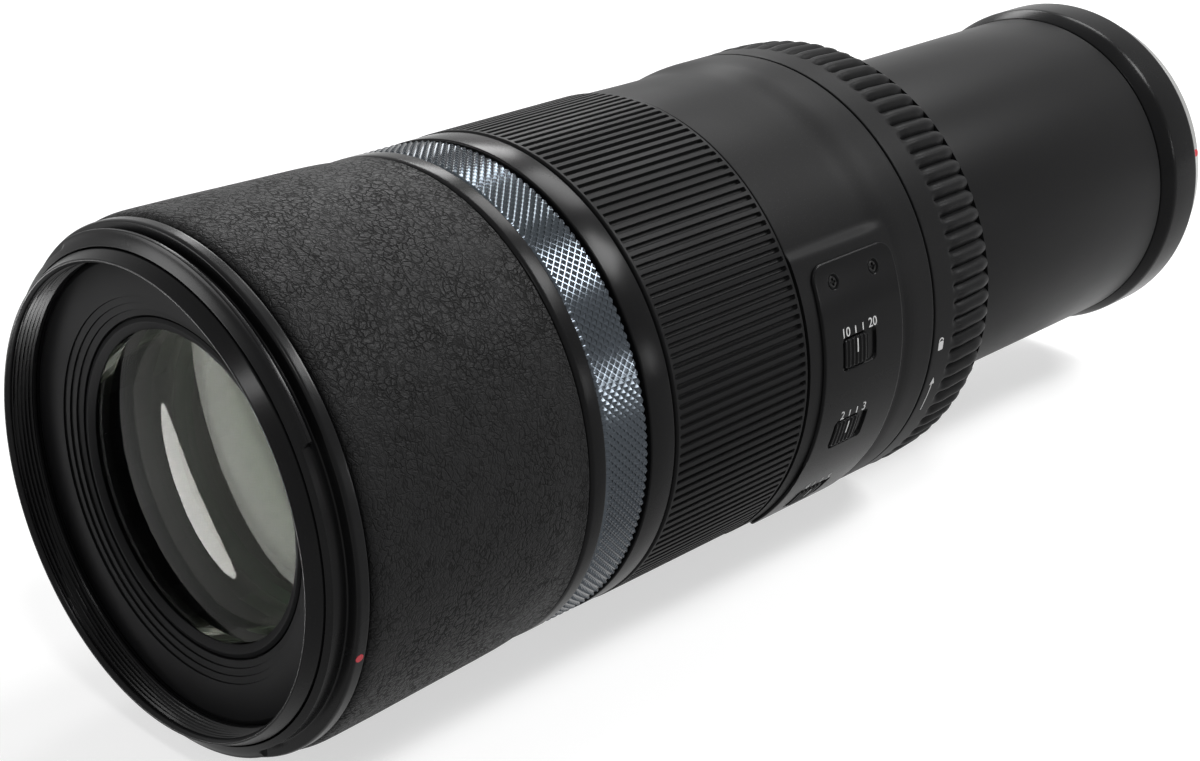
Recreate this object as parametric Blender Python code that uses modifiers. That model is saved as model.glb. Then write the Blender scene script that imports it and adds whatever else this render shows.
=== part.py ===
"""Collapsible super-telephoto lens, drawn out ready for use.

The optical axis is level and runs along +Y from the front glass to the bayonet.
Stations are distances from the front rim along the axis, angles are measured
round the axis from straight up towards +X, and all sizes are in metres.
"""
import bmesh
import bpy
import math
from mathutils import Matrix, Vector

MM = 0.001

# Fits and mesh fineness
FIT = 0.3 * MM
SEAM = 0.4 * MM
OUTER_STEPS = 36
INNER_STEPS = 24
PIN_STEPS = 12

# Main barrel, and the walls that stand on it from the front to the bayonet
BARREL_R = 42.1 * MM
BARREL_WALL = 1.6 * MM
FILTER_WALL = 1.9 * MM
HOOD_LUG_WALL = 2.5 * MM
HOOD_STEP = 1.0 * MM
SLEEVE_WALL = 1.5 * MM
GRIP_THIN = 0.6 * MM
GRIP_SWELL = 1.6 * MM
LIP_WALL = 0.85 * MM
FOCUS_WALL = 1.0 * MM
FOCUS_RUBBER = 1.5 * MM
BODY_FRONT_WALL = 2.4 * MM
BODY_WAIST_WALL = 2.15 * MM
BODY_REAR_WALL = 3.2 * MM
PLATFORM_WALL = 2.7 * MM
LOCK_WALL = 1.5 * MM
LOCK_STAND = 3.3 * MM
LOCK_WEB = 3.0 * MM
GUIDE_INSET = 6.3 * MM
GUIDE_WALL = 2.0 * MM
TUBE_WALL = 1.5 * MM
COLLAR_STAND = 1.6 * MM
FLANGE_STEP = 1.0 * MM

# Lengths along the axis, from the front to the bayonet
RIM_LENGTH = 5.9 * MM
HOOD_SETBACK = 2.6 * MM
HOOD_LENGTH = 5.8 * MM
HOOD_RIDGE_ENDS = (math.radians(60.0), math.radians(240.0))
HOOD_OPENING = math.radians(90.0)
GRIP_LENGTH = 47.4 * MM
LIP_LENGTH = 3.7 * MM
CONTROL_LENGTH = 10.2 * MM
BAND_LENGTH = 5.9 * MM
FOCUS_LENGTH = 35.4 * MM
BODY_LENGTH = 37.4 * MM
LOCK_LENGTH = 19.6 * MM
TUBE_EXPOSED = 80.5 * MM
TUBE_TRAVEL = 70.0 * MM
COLLAR_LENGTH = 15.8 * MM
FLANGE_THICKNESS = 2.1 * MM
BAYONET_LENGTH = 5.5 * MM

# Grip shoulder, body ramp and front ring details
SHOULDER_LENGTH = 3.4 * MM
GRIP_WAIST_LENGTH = 3.0 * MM
RAMP_LEAD = 2.0 * MM
RAMP_LENGTH = 4.6 * MM
RIM_CHAMFER = 0.5 * MM
RING_CHAMFER = 0.3 * MM
NAME_RING_DISH = 2.2 * MM
NAME_RING_WALL = 1.0 * MM
NAME_RING_STEP = 3.0 * MM
RETAINER_WALL = 1.7 * MM
RETAINER_LIP = 0.9 * MM

# Ribs
FOCUS_RIBS = 158
FOCUS_GROOVE_WIDTH = 0.8 * MM
FOCUS_GROOVE_DEPTH = 0.6 * MM
FOCUS_MARGIN = 0.8 * MM
LOCK_RIBS = 82
LOCK_GROOVE_R = 1.2 * MM
LOCK_GROOVE_DEPTH = 0.9 * MM
LOCK_PLAIN = 7.5 * MM

# Side panel and its three sliding switches
PANEL_ANGLE = math.radians(103.0)
PANEL_LENGTH = 24.0 * MM
PANEL_WIDTH = 59.2 * MM
PANEL_CORNER = 3.5 * MM
PANEL_SETBACK = 3.4 * MM
PANEL_THICKNESS = 0.55 * MM
PLATFORM_MARGIN = 3.0 * MM
SWITCH_SLOT_LENGTH = 9.8 * MM
SWITCH_SLOT_WIDTH = 6.4 * MM
SWITCH_SETBACK = 5.6 * MM
SWITCH_LENGTH = 7.0 * MM
SWITCH_HEIGHT = 0.35 * MM
SWITCH_ANGLES = {
    "range_switch": math.radians(86.0), "focus_mode_switch": math.radians(107.3),
    "steady_switch": math.radians(131.0),
}
PANEL_SCREW_ANGLE = math.radians(68.4)
PANEL_SCREW_SETBACKS = (5.5 * MM, 17.3 * MM)
PANEL_SCREW_R = 0.9 * MM
PANEL_SCREW_LENGTH = 2.2 * MM

# Tripod foot and its 1/4 inch socket
FOOT_WIDTH = 26.8 * MM
FOOT_LENGTH = 21.6 * MM
FOOT_SETBACK = 2.8 * MM
SOCKET_R = 5.2 * MM
SOCKET_DEPTH = 7.2 * MM
THREAD_R = 3.175 * MM
THREAD_DEPTH = 6.3 * MM

# Bayonet
BAYONET_INSET = 9.4 * MM
THROAT_WALL = 1.8 * MM
LUG_STAND = 1.5 * MM
LUG_THICKNESS = 2.0 * MM
LUG_COUNT = 3
LUG_GAP_WIDTH = 24.0 * MM
MOUNT_SPIGOT_INSET = 6.2 * MM
MOUNT_SPIGOT_LENGTH = 4.4 * MM
MOUNT_SCREW_COUNT = 4
MOUNT_SCREW_INSET = 3.4 * MM
MOUNT_SCREW_HEAD_R = 1.9 * MM
MOUNT_SCREW_HEAD = 1.3 * MM
MOUNT_SCREW_R = 0.95 * MM
MOUNT_SCREW_LENGTH = 4.5 * MM
CONTACT_WIDTH = 24.0 * MM
CONTACT_DEPTH = 3.0 * MM
CONTACT_LENGTH = 8.0 * MM
CONTACT_STRIP_THICKNESS = 0.5 * MM
CONTACT_COUNT = 12
CONTACT_BORDER = 0.9 * MM
COLLAR_SPIGOT_LENGTH = 6.0 * MM
COLLAR_SPIGOT_WALL = 1.4 * MM
COLLAR_HUB_SETBACK = 4.6 * MM
COLLAR_CONE = 3.5 * MM
COLLAR_BEVEL = 3.4 * MM
BAFFLE_SETBACK = 1.0 * MM
BAFFLE_THICKNESS = 1.2 * MM
BAFFLE_SIDE = 8.6 * MM
BAFFLE_TOP = 13.6 * MM

# Tube guide
KEY_R = 2.0 * MM
KEY_COUNT = 2
KEY_SETBACK = 4.0 * MM
TUBE_OVERLAP = 14.9 * MM
GUIDE_SLOT_FIT = 0.35 * MM
GUIDE_LEAD = 3.0 * MM
GUIDE_FLANGE_SETBACK = 1.0 * MM
GUIDE_FLANGE_LENGTH = 4.0 * MM
FELT_LENGTH = 1.5 * MM

# Optics
FRONT_GLASS_INSET = 12.6 * MM
FRONT_GLASS_APEX = 6.3 * MM
FRONT_GLASS_BOW = 3.4 * MM
FRONT_GLASS_EDGE = 5.2 * MM
DOUBLET_EDGE = 6.4 * MM
THIRD_EDGE = 3.6 * MM
AIR_GAP = 1.6 * MM
CELL_TAIL = 1.8 * MM
STOP_THICKNESS = 0.6 * MM
STOP_R = 24.5 * MM
STAGE_GAP = 0.5 * MM
FOCUS_GROUP_SPACE = 20.0 * MM
CARRIER_LENGTH = 7.4 * MM
STEADY_FRAME_THICKNESS = 2.2 * MM
STEADY_CARRIER_THICKNESS = 2.6 * MM
REAR_CELL_LENGTH = 9.0 * MM
CELL_WALL = 1.8 * MM
CELL_LAND = 2.4 * MM
FOCUS_GLASS_R = 21.1 * MM
STEADY_GLASS_R = 19.7 * MM
REAR_GLASS_R = 19.0 * MM
PLATE_THICKNESS = 3.0 * MM
FOCUS_THROW = 2.5 * MM
STEADY_THROW = 1.0 * MM
ROD_R = 1.0 * MM
ROD_INSET = 7.5 * MM
ARM_WIDTH = 7.0 * MM
ARM_OVERHANG = 3.5 * MM
CARRIER_WALL = 4.5 * MM
STEADY_TUBE_WALL = 1.8 * MM
STEADY_FRAME_CLEARANCE = 2.0 * MM
LEAD_SCREW_R = 1.2 * MM
LEAD_SCREW_ANGLE = math.radians(35.0)
MOTOR_R = 3.6 * MM
MOTOR_LENGTH = 7.0 * MM
COIL_SIZE = 9.0 * MM
COIL_THICKNESS = 1.2 * MM
BOARD_THICKNESS = 1.2 * MM

# Stations worked out from the lengths
HOOD_REAR = HOOD_SETBACK + HOOD_LENGTH
GRIP_FRONT = HOOD_REAR + SEAM
GRIP_REAR = GRIP_FRONT + GRIP_LENGTH
LIP_FRONT = GRIP_REAR + SEAM
LIP_REAR = LIP_FRONT + LIP_LENGTH
CONTROL_FRONT = LIP_REAR + SEAM
CONTROL_REAR = CONTROL_FRONT + CONTROL_LENGTH
BAND_FRONT = CONTROL_REAR + SEAM
BAND_REAR = BAND_FRONT + BAND_LENGTH
FOCUS_FRONT = BAND_REAR + SEAM
FOCUS_REAR = FOCUS_FRONT + FOCUS_LENGTH
BODY_FRONT = FOCUS_REAR + SEAM
BODY_REAR = BODY_FRONT + BODY_LENGTH
LOCK_FRONT = BODY_REAR + SEAM
LOCK_REAR = LOCK_FRONT + LOCK_LENGTH
COLLAR_FRONT = LOCK_REAR + TUBE_EXPOSED
TUBE_FRONT = LOCK_REAR - TUBE_OVERLAP
TUBE_REAR = COLLAR_FRONT - SEAM
COLLAR_REAR = COLLAR_FRONT + COLLAR_LENGTH
FLANGE_FRONT = COLLAR_REAR + FIT
FLANGE_REAR = FLANGE_FRONT + FLANGE_THICKNESS
TOTAL_LENGTH = FLANGE_REAR + BAYONET_LENGTH
KEY_STATION = TUBE_FRONT + KEY_SETBACK
PANEL_FRONT = BODY_FRONT + PANEL_SETBACK
FOOT_FRONT = BODY_FRONT + FOOT_SETBACK

# Stations of the optical stages
CELL_FRONT = FRONT_GLASS_APEX + FRONT_GLASS_BOW
DOUBLET_FRONT = CELL_FRONT + FRONT_GLASS_EDGE + AIR_GAP
THIRD_FRONT = DOUBLET_FRONT + DOUBLET_EDGE + AIR_GAP
CELL_REAR = THIRD_FRONT + THIRD_EDGE + CELL_TAIL
BOARD_FRONT = CELL_REAR + STAGE_GAP
STOP_FRONT = BOARD_FRONT + BOARD_THICKNESS + STAGE_GAP
FOCUS_BASE_FRONT = STOP_FRONT + STOP_THICKNESS + STAGE_GAP
FOCUS_BASE_REAR = FOCUS_BASE_FRONT + PLATE_THICKNESS
STEADY_BASE_FRONT = FOCUS_BASE_REAR + FOCUS_GROUP_SPACE
STEADY_BASE_REAR = STEADY_BASE_FRONT + PLATE_THICKNESS
COIL_X_FRONT = STEADY_BASE_REAR + COIL_THICKNESS + 2 * FIT
FRAME_FRONT = COIL_X_FRONT + COIL_THICKNESS + FIT
FRAME_REAR = FRAME_FRONT + STEADY_FRAME_THICKNESS
STEADY_FRONT = FRAME_REAR + FIT
STEADY_REAR = STEADY_FRONT + STEADY_CARRIER_THICKNESS
COIL_Z_FRONT = STEADY_REAR + FIT
REAR_CELL_FRONT = COIL_Z_FRONT + 2 * COIL_THICKNESS + 3 * FIT
REAR_CELL_REAR = REAR_CELL_FRONT + REAR_CELL_LENGTH

# Radii worked out from the walls
BARREL_BORE_R = BARREL_R - BARREL_WALL
RIM_R = BARREL_R
FILTER_BORE_R = RIM_R - FILTER_WALL
HOOD_BORE_R = RIM_R + FIT
HOOD_LUG_R = HOOD_BORE_R + HOOD_LUG_WALL
HOOD_FLANGE_R = HOOD_LUG_R + HOOD_STEP
SLEEVE_BORE_R = BARREL_R + SEAM
SLEEVE_R = SLEEVE_BORE_R + SLEEVE_WALL
GRIP_BORE_R = SLEEVE_R + FIT
GRIP_WAIST_R = GRIP_BORE_R + GRIP_THIN
GRIP_SHOULDER_R = GRIP_WAIST_R + GRIP_SWELL
RING_R = GRIP_BORE_R + LIP_WALL
FOCUS_CARRIER_R = SLEEVE_BORE_R + FOCUS_WALL
FOCUS_RIB_R = FOCUS_CARRIER_R + FIT + FOCUS_RUBBER
BODY_FRONT_R = SLEEVE_BORE_R + BODY_FRONT_WALL
BODY_WAIST_R = SLEEVE_BORE_R + BODY_WAIST_WALL
BODY_REAR_R = SLEEVE_BORE_R + BODY_REAR_WALL
PLATFORM_R = SLEEVE_BORE_R + PLATFORM_WALL
LOCK_R = SLEEVE_BORE_R + LOCK_STAND
TUBE_R = BARREL_R - GUIDE_INSET
GUIDE_BORE_R = TUBE_R + SEAM
GUIDE_R = GUIDE_BORE_R + GUIDE_WALL
COLLAR_R = TUBE_R + COLLAR_STAND
FLANGE_R = TUBE_R - FLANGE_STEP
MOUNT_SCREW_PITCH_R = FLANGE_R - MOUNT_SCREW_INSET
MOUNT_SPIGOT_R = FLANGE_R - MOUNT_SPIGOT_INSET
BAYONET_R = FLANGE_R - BAYONET_INSET
THROAT_R = BAYONET_R - THROAT_WALL
LUG_R = BAYONET_R + LUG_STAND
ROD_PITCH_R = BARREL_BORE_R - ROD_INSET
FRONT_GLASS_R = BARREL_BORE_R - FRONT_GLASS_INSET
PANEL_BORE_R = PLATFORM_R + FIT
PANEL_R = PANEL_BORE_R + PANEL_THICKNESS
CELL_BORE_R = FRONT_GLASS_R + FIT
CELL_LAND_R = BARREL_BORE_R - FIT
PLATE_R = BARREL_BORE_R - FIT

# Front rim on -Y, lowest point on the ground
FRONT_Y = -TOTAL_LENGTH / 2
AXIS_Z = GRIP_SHOULDER_R

for old in list(bpy.data.objects):
    bpy.data.objects.remove(old, do_unlink=True)

PARTS = bpy.data.collections.new("super_telephoto_lens")
CUTTERS = bpy.data.collections.new("cutters")
bpy.context.scene.collection.children.link(PARTS)
bpy.context.scene.collection.children.link(CUTTERS)


def principled(name, colour, roughness, metallic=0.0):
    """Material with one Principled shader."""
    material = bpy.data.materials.new(name)
    material.use_nodes = True
    shader = material.node_tree.nodes["Principled BSDF"]
    shader.inputs["Base Color"].default_value = (*colour, 1.0)
    shader.inputs["Roughness"].default_value = roughness
    shader.inputs["Metallic"].default_value = metallic
    return material


SATIN_BLACK = principled("satin_black", (0.020, 0.020, 0.021), 0.38)
MATTE_BLACK = principled("matte_black", (0.024, 0.024, 0.025), 0.62)
GRIP_RUBBER = principled("grip_rubber", (0.030, 0.030, 0.031), 0.75)
GUNMETAL = principled("gunmetal", (0.36, 0.39, 0.43), 0.30, 1.0)
STEEL = principled("steel", (0.70, 0.70, 0.70), 0.30, 1.0)
BRIGHT_CHROME = principled("bright_chrome", (0.80, 0.80, 0.79), 0.22, 1.0)
BRASS = principled("brass", (0.78, 0.60, 0.28), 0.35, 1.0)
COPPER = principled("copper", (0.72, 0.38, 0.22), 0.40, 1.0)
GOLD = principled("gold", (0.85, 0.64, 0.25), 0.28, 1.0)
GLASS = principled("coated_glass", (0.42, 0.50, 0.40), 0.05)
BOARD_GREEN = principled("board_green", (0.03, 0.16, 0.08), 0.55)
FELT_BLACK = principled("felt_black", (0.010, 0.010, 0.010), 0.95)


def on_axis(station, radius=0.0, angle=0.0):
    """World point at a station, a radius and an angle round the optical axis."""
    return Vector((radius * math.sin(angle), FRONT_Y + station, AXIS_Z + radius * math.cos(angle)))


def add_object(name, bm, material):
    """Object from a bmesh: a part if it has a material, else a hidden cutter."""
    mesh = bpy.data.meshes.new(name)
    bm.to_mesh(mesh)
    bm.free()
    obj = bpy.data.objects.new(name, mesh)
    if material is None:
        CUTTERS.objects.link(obj)
        obj.hide_render = True
        obj.display_type = "WIRE"
    else:
        PARTS.objects.link(obj)
        mesh.materials.append(material)
    return obj


def turned(name, profile, material=None, steps=INNER_STEPS, closed=True):
    """Solid turned about the optical axis from (radius, station) points.

    A closed profile makes a ring. An open one starts and ends on the axis.
    """
    area = sum(a[0] * b[1] - b[0] * a[1] for a, b in zip(profile, profile[1:] + profile[:1]))
    points = profile if area < 0 else profile[::-1]
    bm = bmesh.new()
    verts = [bm.verts.new((radius, 0.0, station)) for radius, station in points]
    for a, b in zip(verts, verts[1:]):
        bm.edges.new((a, b))
    if closed:
        bm.edges.new((verts[-1], verts[0]))
    obj = add_object(name, bm, material)
    obj.location = on_axis(0.0)
    obj.rotation_euler = (-math.pi / 2, 0.0, 0.0)
    screw = obj.modifiers.new("turn", "SCREW")
    screw.steps = steps
    screw.render_steps = steps
    screw.use_merge_vertices = True
    screw.merge_threshold = 0.00001
    return obj


def ring(name, bore, radius, front, rear, material=None, steps=INNER_STEPS):
    """Plain ring or tube between two stations."""
    return turned(name, [(bore, front), (radius, front), (radius, rear), (bore, rear)], material, steps)


def block(name, size, station, radius, angle, material=None, corner=0.0):
    """Box sized (tangent, axial, radial), centred at a station, radius and angle.

    A corner size rounds the four edges that point outwards.
    """
    bm = bmesh.new()
    bmesh.ops.create_cube(bm, size=1.0, matrix=Matrix.Diagonal((*size, 1.0)))
    if corner:
        upright = [e for e in bm.edges if abs((e.verts[0].co - e.verts[1].co).z) > size[2] / 2]
        bmesh.ops.bevel(bm, geom=upright, offset=corner, segments=3, profile=0.5, affect="EDGES")
    obj = add_object(name, bm, material)
    obj.location = on_axis(station, radius, angle)
    obj.rotation_euler = (0.0, angle, 0.0)
    return obj


def arc_block(name, inner, outer, front, rear, start, end, steps=INNER_STEPS, material=None):
    """Part of a ring between two radii, two stations and two angles."""
    bm = bmesh.new()
    corners = ((inner, front), (outer, front), (outer, rear), (inner, rear))
    rows = []
    for index in range(steps + 1):
        angle = start + (end - start) * index / steps
        rows.append([bm.verts.new(on_axis(station, radius, angle)) for radius, station in corners])
    for row, after in zip(rows, rows[1:]):
        for side in range(4):
            bm.faces.new((row[side], row[side - 1], after[side - 1], after[side]))
    bm.faces.new(rows[0])
    bm.faces.new(rows[-1][::-1])
    bmesh.ops.recalc_face_normals(bm, faces=bm.faces)
    return add_object(name, bm, material)


def round_bar(name, bar_radius, centre, length, along, material=None, steps=PIN_STEPS):
    """Cylinder whose centre is a world point and which lies along a world direction."""
    bm = bmesh.new()
    bmesh.ops.create_cone(bm, cap_ends=True, segments=steps, radius1=bar_radius, radius2=bar_radius, depth=length)
    obj = add_object(name, bm, material)
    obj.location = centre
    obj.rotation_euler = Vector(along).to_track_quat("Z", "Y").to_euler()
    return obj


def axial_bar(name, bar_radius, front, rear, radius, angle, material=None, steps=PIN_STEPS):
    """Cylinder parallel to the optical axis between two stations."""
    centre = on_axis((front + rear) / 2, radius, angle)
    return round_bar(name, bar_radius, centre, rear - front, (0.0, 1.0, 0.0), material, steps)


def radial_bar(name, bar_radius, inner, outer, station, angle, material=None, steps=PIN_STEPS):
    """Cylinder that points away from the optical axis between two radii."""
    centre = on_axis(station, (inner + outer) / 2, angle)
    along = (math.sin(angle), 0.0, math.cos(angle))
    return round_bar(name, bar_radius, centre, outer - inner, along, material, steps)


def combine(obj, tool, operation):
    """Boolean of an object with a hidden tool: DIFFERENCE, UNION or INTERSECT."""
    modifier = obj.modifiers.new(tool.name, "BOOLEAN")
    modifier.operation = operation
    modifier.object = tool
    modifier.solver = "EXACT"


def cut(obj, *tools):
    """Cut each tool out of an object."""
    for tool in tools:
        combine(obj, tool, "DIFFERENCE")


def round_array(name, count, make):
    """One cutter mesh of equal pieces, each built by make(bm, angle), round the axis."""
    bm = bmesh.new()
    for index in range(count):
        make(bm, 2 * math.pi * index / count)
    obj = add_object(name, bm, None)
    obj.location = on_axis(0.0)
    return obj


def lens_profile(radius, front, rear, front_bow, rear_bow, points=3):
    """Open profile of a glass: its faces bow outwards by the given depths at the axis.

    Stations front and rear are those of the rim, where the glass meets its seat.
    """
    shares = [i / points for i in range(points)]
    face = [(radius * s, front - front_bow * (1 - s * s)) for s in shares]
    back = [(radius * s, rear + rear_bow * (1 - s * s)) for s in shares]
    return face + [(radius, front), (radius, rear)] + back[::-1]


def glass(name, radius, front, rear, front_bow, rear_bow):
    """Glass element or cemented group."""
    return turned(name, lens_profile(radius, front, rear, front_bow, rear_bow), GLASS, closed=False)


def front_rings():
    """Filter ring, hood flange, dished name ring and the ring that holds the front glass."""
    chamfer = RIM_CHAMFER
    turned("filter_ring", [
        (RIM_R, chamfer), (RIM_R, RIM_LENGTH), (FILTER_BORE_R, RIM_LENGTH), (FILTER_BORE_R, 2 * chamfer),
        (FILTER_BORE_R + chamfer, 0.0), (RIM_R - chamfer, 0.0),
    ], SATIN_BLACK, OUTER_STEPS)
    bore = HOOD_BORE_R
    groove_front = HOOD_SETBACK + 0.35 * HOOD_LENGTH
    groove_rear = HOOD_SETBACK + 0.6 * HOOD_LENGTH
    groove_r = HOOD_LUG_R - 0.36 * HOOD_LUG_WALL
    flange = turned("hood_flange", [
        (bore, HOOD_SETBACK), (HOOD_LUG_R - chamfer, HOOD_SETBACK), (HOOD_LUG_R, HOOD_SETBACK + chamfer),
        (HOOD_LUG_R, groove_front), (groove_r, groove_front), (groove_r, groove_rear),
        (HOOD_FLANGE_R - chamfer, groove_rear), (HOOD_FLANGE_R, groove_rear + chamfer),
        (HOOD_FLANGE_R, HOOD_REAR), (bore, HOOD_REAR),
    ], SATIN_BLACK, OUTER_STEPS)
    for index, start in enumerate(HOOD_RIDGE_ENDS, 1):
        opening = arc_block("hood_opening_%d" % index, groove_r + 0.1 * MM, HOOD_FLANGE_R, HOOD_SETBACK - FIT,
                            (groove_front + groove_rear) / 2, start, start + HOOD_OPENING)
        cut(flange, opening)
    outer = BARREL_BORE_R - FIT
    inner = FRONT_GLASS_R + RETAINER_WALL
    dish_front = RIM_LENGTH + FIT
    dish = NAME_RING_DISH
    wall = NAME_RING_WALL
    turned("name_ring", [
        (outer, dish_front), (outer, dish_front + wall), (inner, dish_front + dish + wall),
        (inner, dish_front + dish), (inner + NAME_RING_STEP, dish_front + 0.4 * dish),
    ], MATTE_BLACK, OUTER_STEPS)
    seat = CELL_FRONT - FIT
    ring("glass_retainer", FRONT_GLASS_R - RETAINER_LIP, inner - FIT, seat - wall, seat, SATIN_BLACK)


def barrel():
    """Fixed tubes: the barrel, the sleeve under the grip, the grip, its lip and the plain band."""
    front, rear = RIM_LENGTH + FIT, BODY_REAR - FIT
    main = ring("main_barrel", BARREL_BORE_R, BARREL_R, front, rear, MATTE_BLACK, OUTER_STEPS)
    ring("front_barrel", SLEEVE_BORE_R, SLEEVE_R, HOOD_REAR + FIT, LIP_REAR, MATTE_BLACK, OUTER_STEPS)
    shoulder = SHOULDER_LENGTH
    turns = [math.radians(a) for a in (0, 30, 60, 90)]
    rounded = [(
        HOOD_FLANGE_R + (GRIP_SHOULDER_R - HOOD_FLANGE_R) * math.sin(a),
        GRIP_FRONT + shoulder * (1 - math.cos(a)),
    ) for a in turns]
    waist = GRIP_REAR - GRIP_WAIST_LENGTH
    middle = (GRIP_FRONT + shoulder + waist) / 2
    middle_r = GRIP_WAIST_R + 0.6 * GRIP_SWELL
    turned("leather_sleeve", [(GRIP_BORE_R, GRIP_FRONT)] + rounded + [
        (middle_r, middle), (GRIP_WAIST_R, waist), (GRIP_WAIST_R, GRIP_REAR), (GRIP_BORE_R, GRIP_REAR),
    ], GRIP_RUBBER, OUTER_STEPS)
    ring("grip_lip", GRIP_BORE_R, RING_R, LIP_FRONT, LIP_REAR, SATIN_BLACK, OUTER_STEPS)
    ring("plain_band", SLEEVE_BORE_R, RING_R, BAND_FRONT, BAND_REAR, SATIN_BLACK, OUTER_STEPS)
    return main


def control_ring():
    """Control ring: the diamond knurl is fine surface, so the ring itself is plain."""
    chamfer = RING_CHAMFER
    turned("control_ring", [
        (SLEEVE_BORE_R, CONTROL_FRONT), (RING_R - chamfer, CONTROL_FRONT), (RING_R, CONTROL_FRONT + chamfer),
        (RING_R, CONTROL_REAR - chamfer), (RING_R - chamfer, CONTROL_REAR), (SLEEVE_BORE_R, CONTROL_REAR),
    ], GUNMETAL, OUTER_STEPS)


def focus_ring():
    """Focus ring and the ribbed rubber stretched over it."""
    carrier_r = FOCUS_CARRIER_R
    ring("focus_ring", SLEEVE_BORE_R, carrier_r, FOCUS_FRONT, FOCUS_REAR, MATTE_BLACK, OUTER_STEPS)
    grip = ring("focus_grip", carrier_r + FIT, FOCUS_RIB_R, FOCUS_FRONT, FOCUS_REAR, GRIP_RUBBER, OUTER_STEPS)
    length = FOCUS_LENGTH - 2 * FOCUS_MARGIN
    depth = 2 * FOCUS_GROOVE_DEPTH
    middle = (FOCUS_FRONT + FOCUS_REAR) / 2

    def groove(bm, angle):
        place = Matrix.Rotation(angle, 4, "Y") @ Matrix.Translation((0.0, middle, FOCUS_RIB_R))
        size = Matrix.Diagonal((FOCUS_GROOVE_WIDTH, length, depth, 1.0))
        bmesh.ops.create_cube(bm, size=1.0, matrix=place @ size)

    cut(grip, round_array("focus_grooves", FOCUS_RIBS, groove))


def body_profile():
    """Outline of the rear body: a slight waist, then a raised band before the lock ring."""
    bore = SLEEVE_BORE_R
    waist = PANEL_FRONT + PANEL_LENGTH - RAMP_LEAD
    band = waist + RAMP_LENGTH
    return [
        (bore, BODY_FRONT), (BODY_FRONT_R, BODY_FRONT), (BODY_WAIST_R, BODY_FRONT + 0.4 * BODY_LENGTH),
        (BODY_WAIST_R, waist), (BODY_REAR_R, band), (BODY_REAR_R, BODY_REAR), (bore, BODY_REAR),
    ]


def rear_body(main_barrel):
    """Rear body with its side platform, panel, switches, and the tripod foot with its socket."""
    body = turned("rear_body", body_profile(), MATTE_BLACK, OUTER_STEPS)
    middle = PANEL_FRONT + PANEL_LENGTH / 2
    reach = PLATFORM_R - SLEEVE_BORE_R
    platform_rear = PANEL_FRONT + PANEL_LENGTH + PLATFORM_MARGIN
    platform = ring("platform", SLEEVE_BORE_R + FIT, PLATFORM_R, BODY_FRONT + FIT, platform_rear, steps=OUTER_STEPS)
    corner = PANEL_CORNER + PLATFORM_MARGIN
    long = platform_rear - BODY_FRONT + corner
    wide = (PANEL_WIDTH + 2 * PLATFORM_MARGIN, long, PLATFORM_R)
    outline = block("platform_outline", wide, platform_rear - long / 2, PLATFORM_R, PANEL_ANGLE, corner=corner)
    combine(platform, outline, "INTERSECT")
    combine(body, platform, "UNION")

    panel = ring("switch_panel", PANEL_BORE_R, PANEL_R, PANEL_FRONT, PANEL_FRONT + PANEL_LENGTH, SATIN_BLACK,
                 2 * OUTER_STEPS)
    size = (PANEL_WIDTH, PANEL_LENGTH - FIT, PANEL_R)
    combine(panel, block("panel_outline", size, middle, PANEL_R, PANEL_ANGLE, corner=PANEL_CORNER), "INTERSECT")

    slot_front = PANEL_FRONT + SWITCH_SETBACK
    slot_middle = slot_front + SWITCH_SLOT_LENGTH / 2
    floor_r = SLEEVE_BORE_R + 0.35 * reach
    knob_top = PANEL_R + SWITCH_HEIGHT
    for name, angle in SWITCH_ANGLES.items():
        tall = 2 * (knob_top - floor_r)
        slot = (SWITCH_SLOT_WIDTH, SWITCH_SLOT_LENGTH, tall)
        tool = block(name + "_slot", slot, slot_middle, floor_r + tall / 2, angle)
        cut(panel, tool)
        cut(body, tool)
        knob = (SWITCH_SLOT_WIDTH - 2 * FIT, SWITCH_LENGTH, knob_top - floor_r - FIT)
        block(name, knob, slot_front + FIT + SWITCH_LENGTH / 2, floor_r + FIT + knob[2] / 2, angle, SATIN_BLACK)

    for index, setback in enumerate(PANEL_SCREW_SETBACKS, 1):
        station = PANEL_FRONT + setback
        inner = PANEL_R - PANEL_SCREW_LENGTH
        hole = radial_bar("panel_screw_hole_%d" % index, PANEL_SCREW_R + FIT, inner - FIT, PANEL_R + FIT,
                          station, PANEL_SCREW_ANGLE)
        cut(panel, hole)
        cut(body, hole)
        radial_bar("panel_screw_%d" % index, PANEL_SCREW_R, inner, PANEL_R - 0.1 * MM, station,
                   PANEL_SCREW_ANGLE, STEEL)

    tripod_foot(body, main_barrel)


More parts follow.
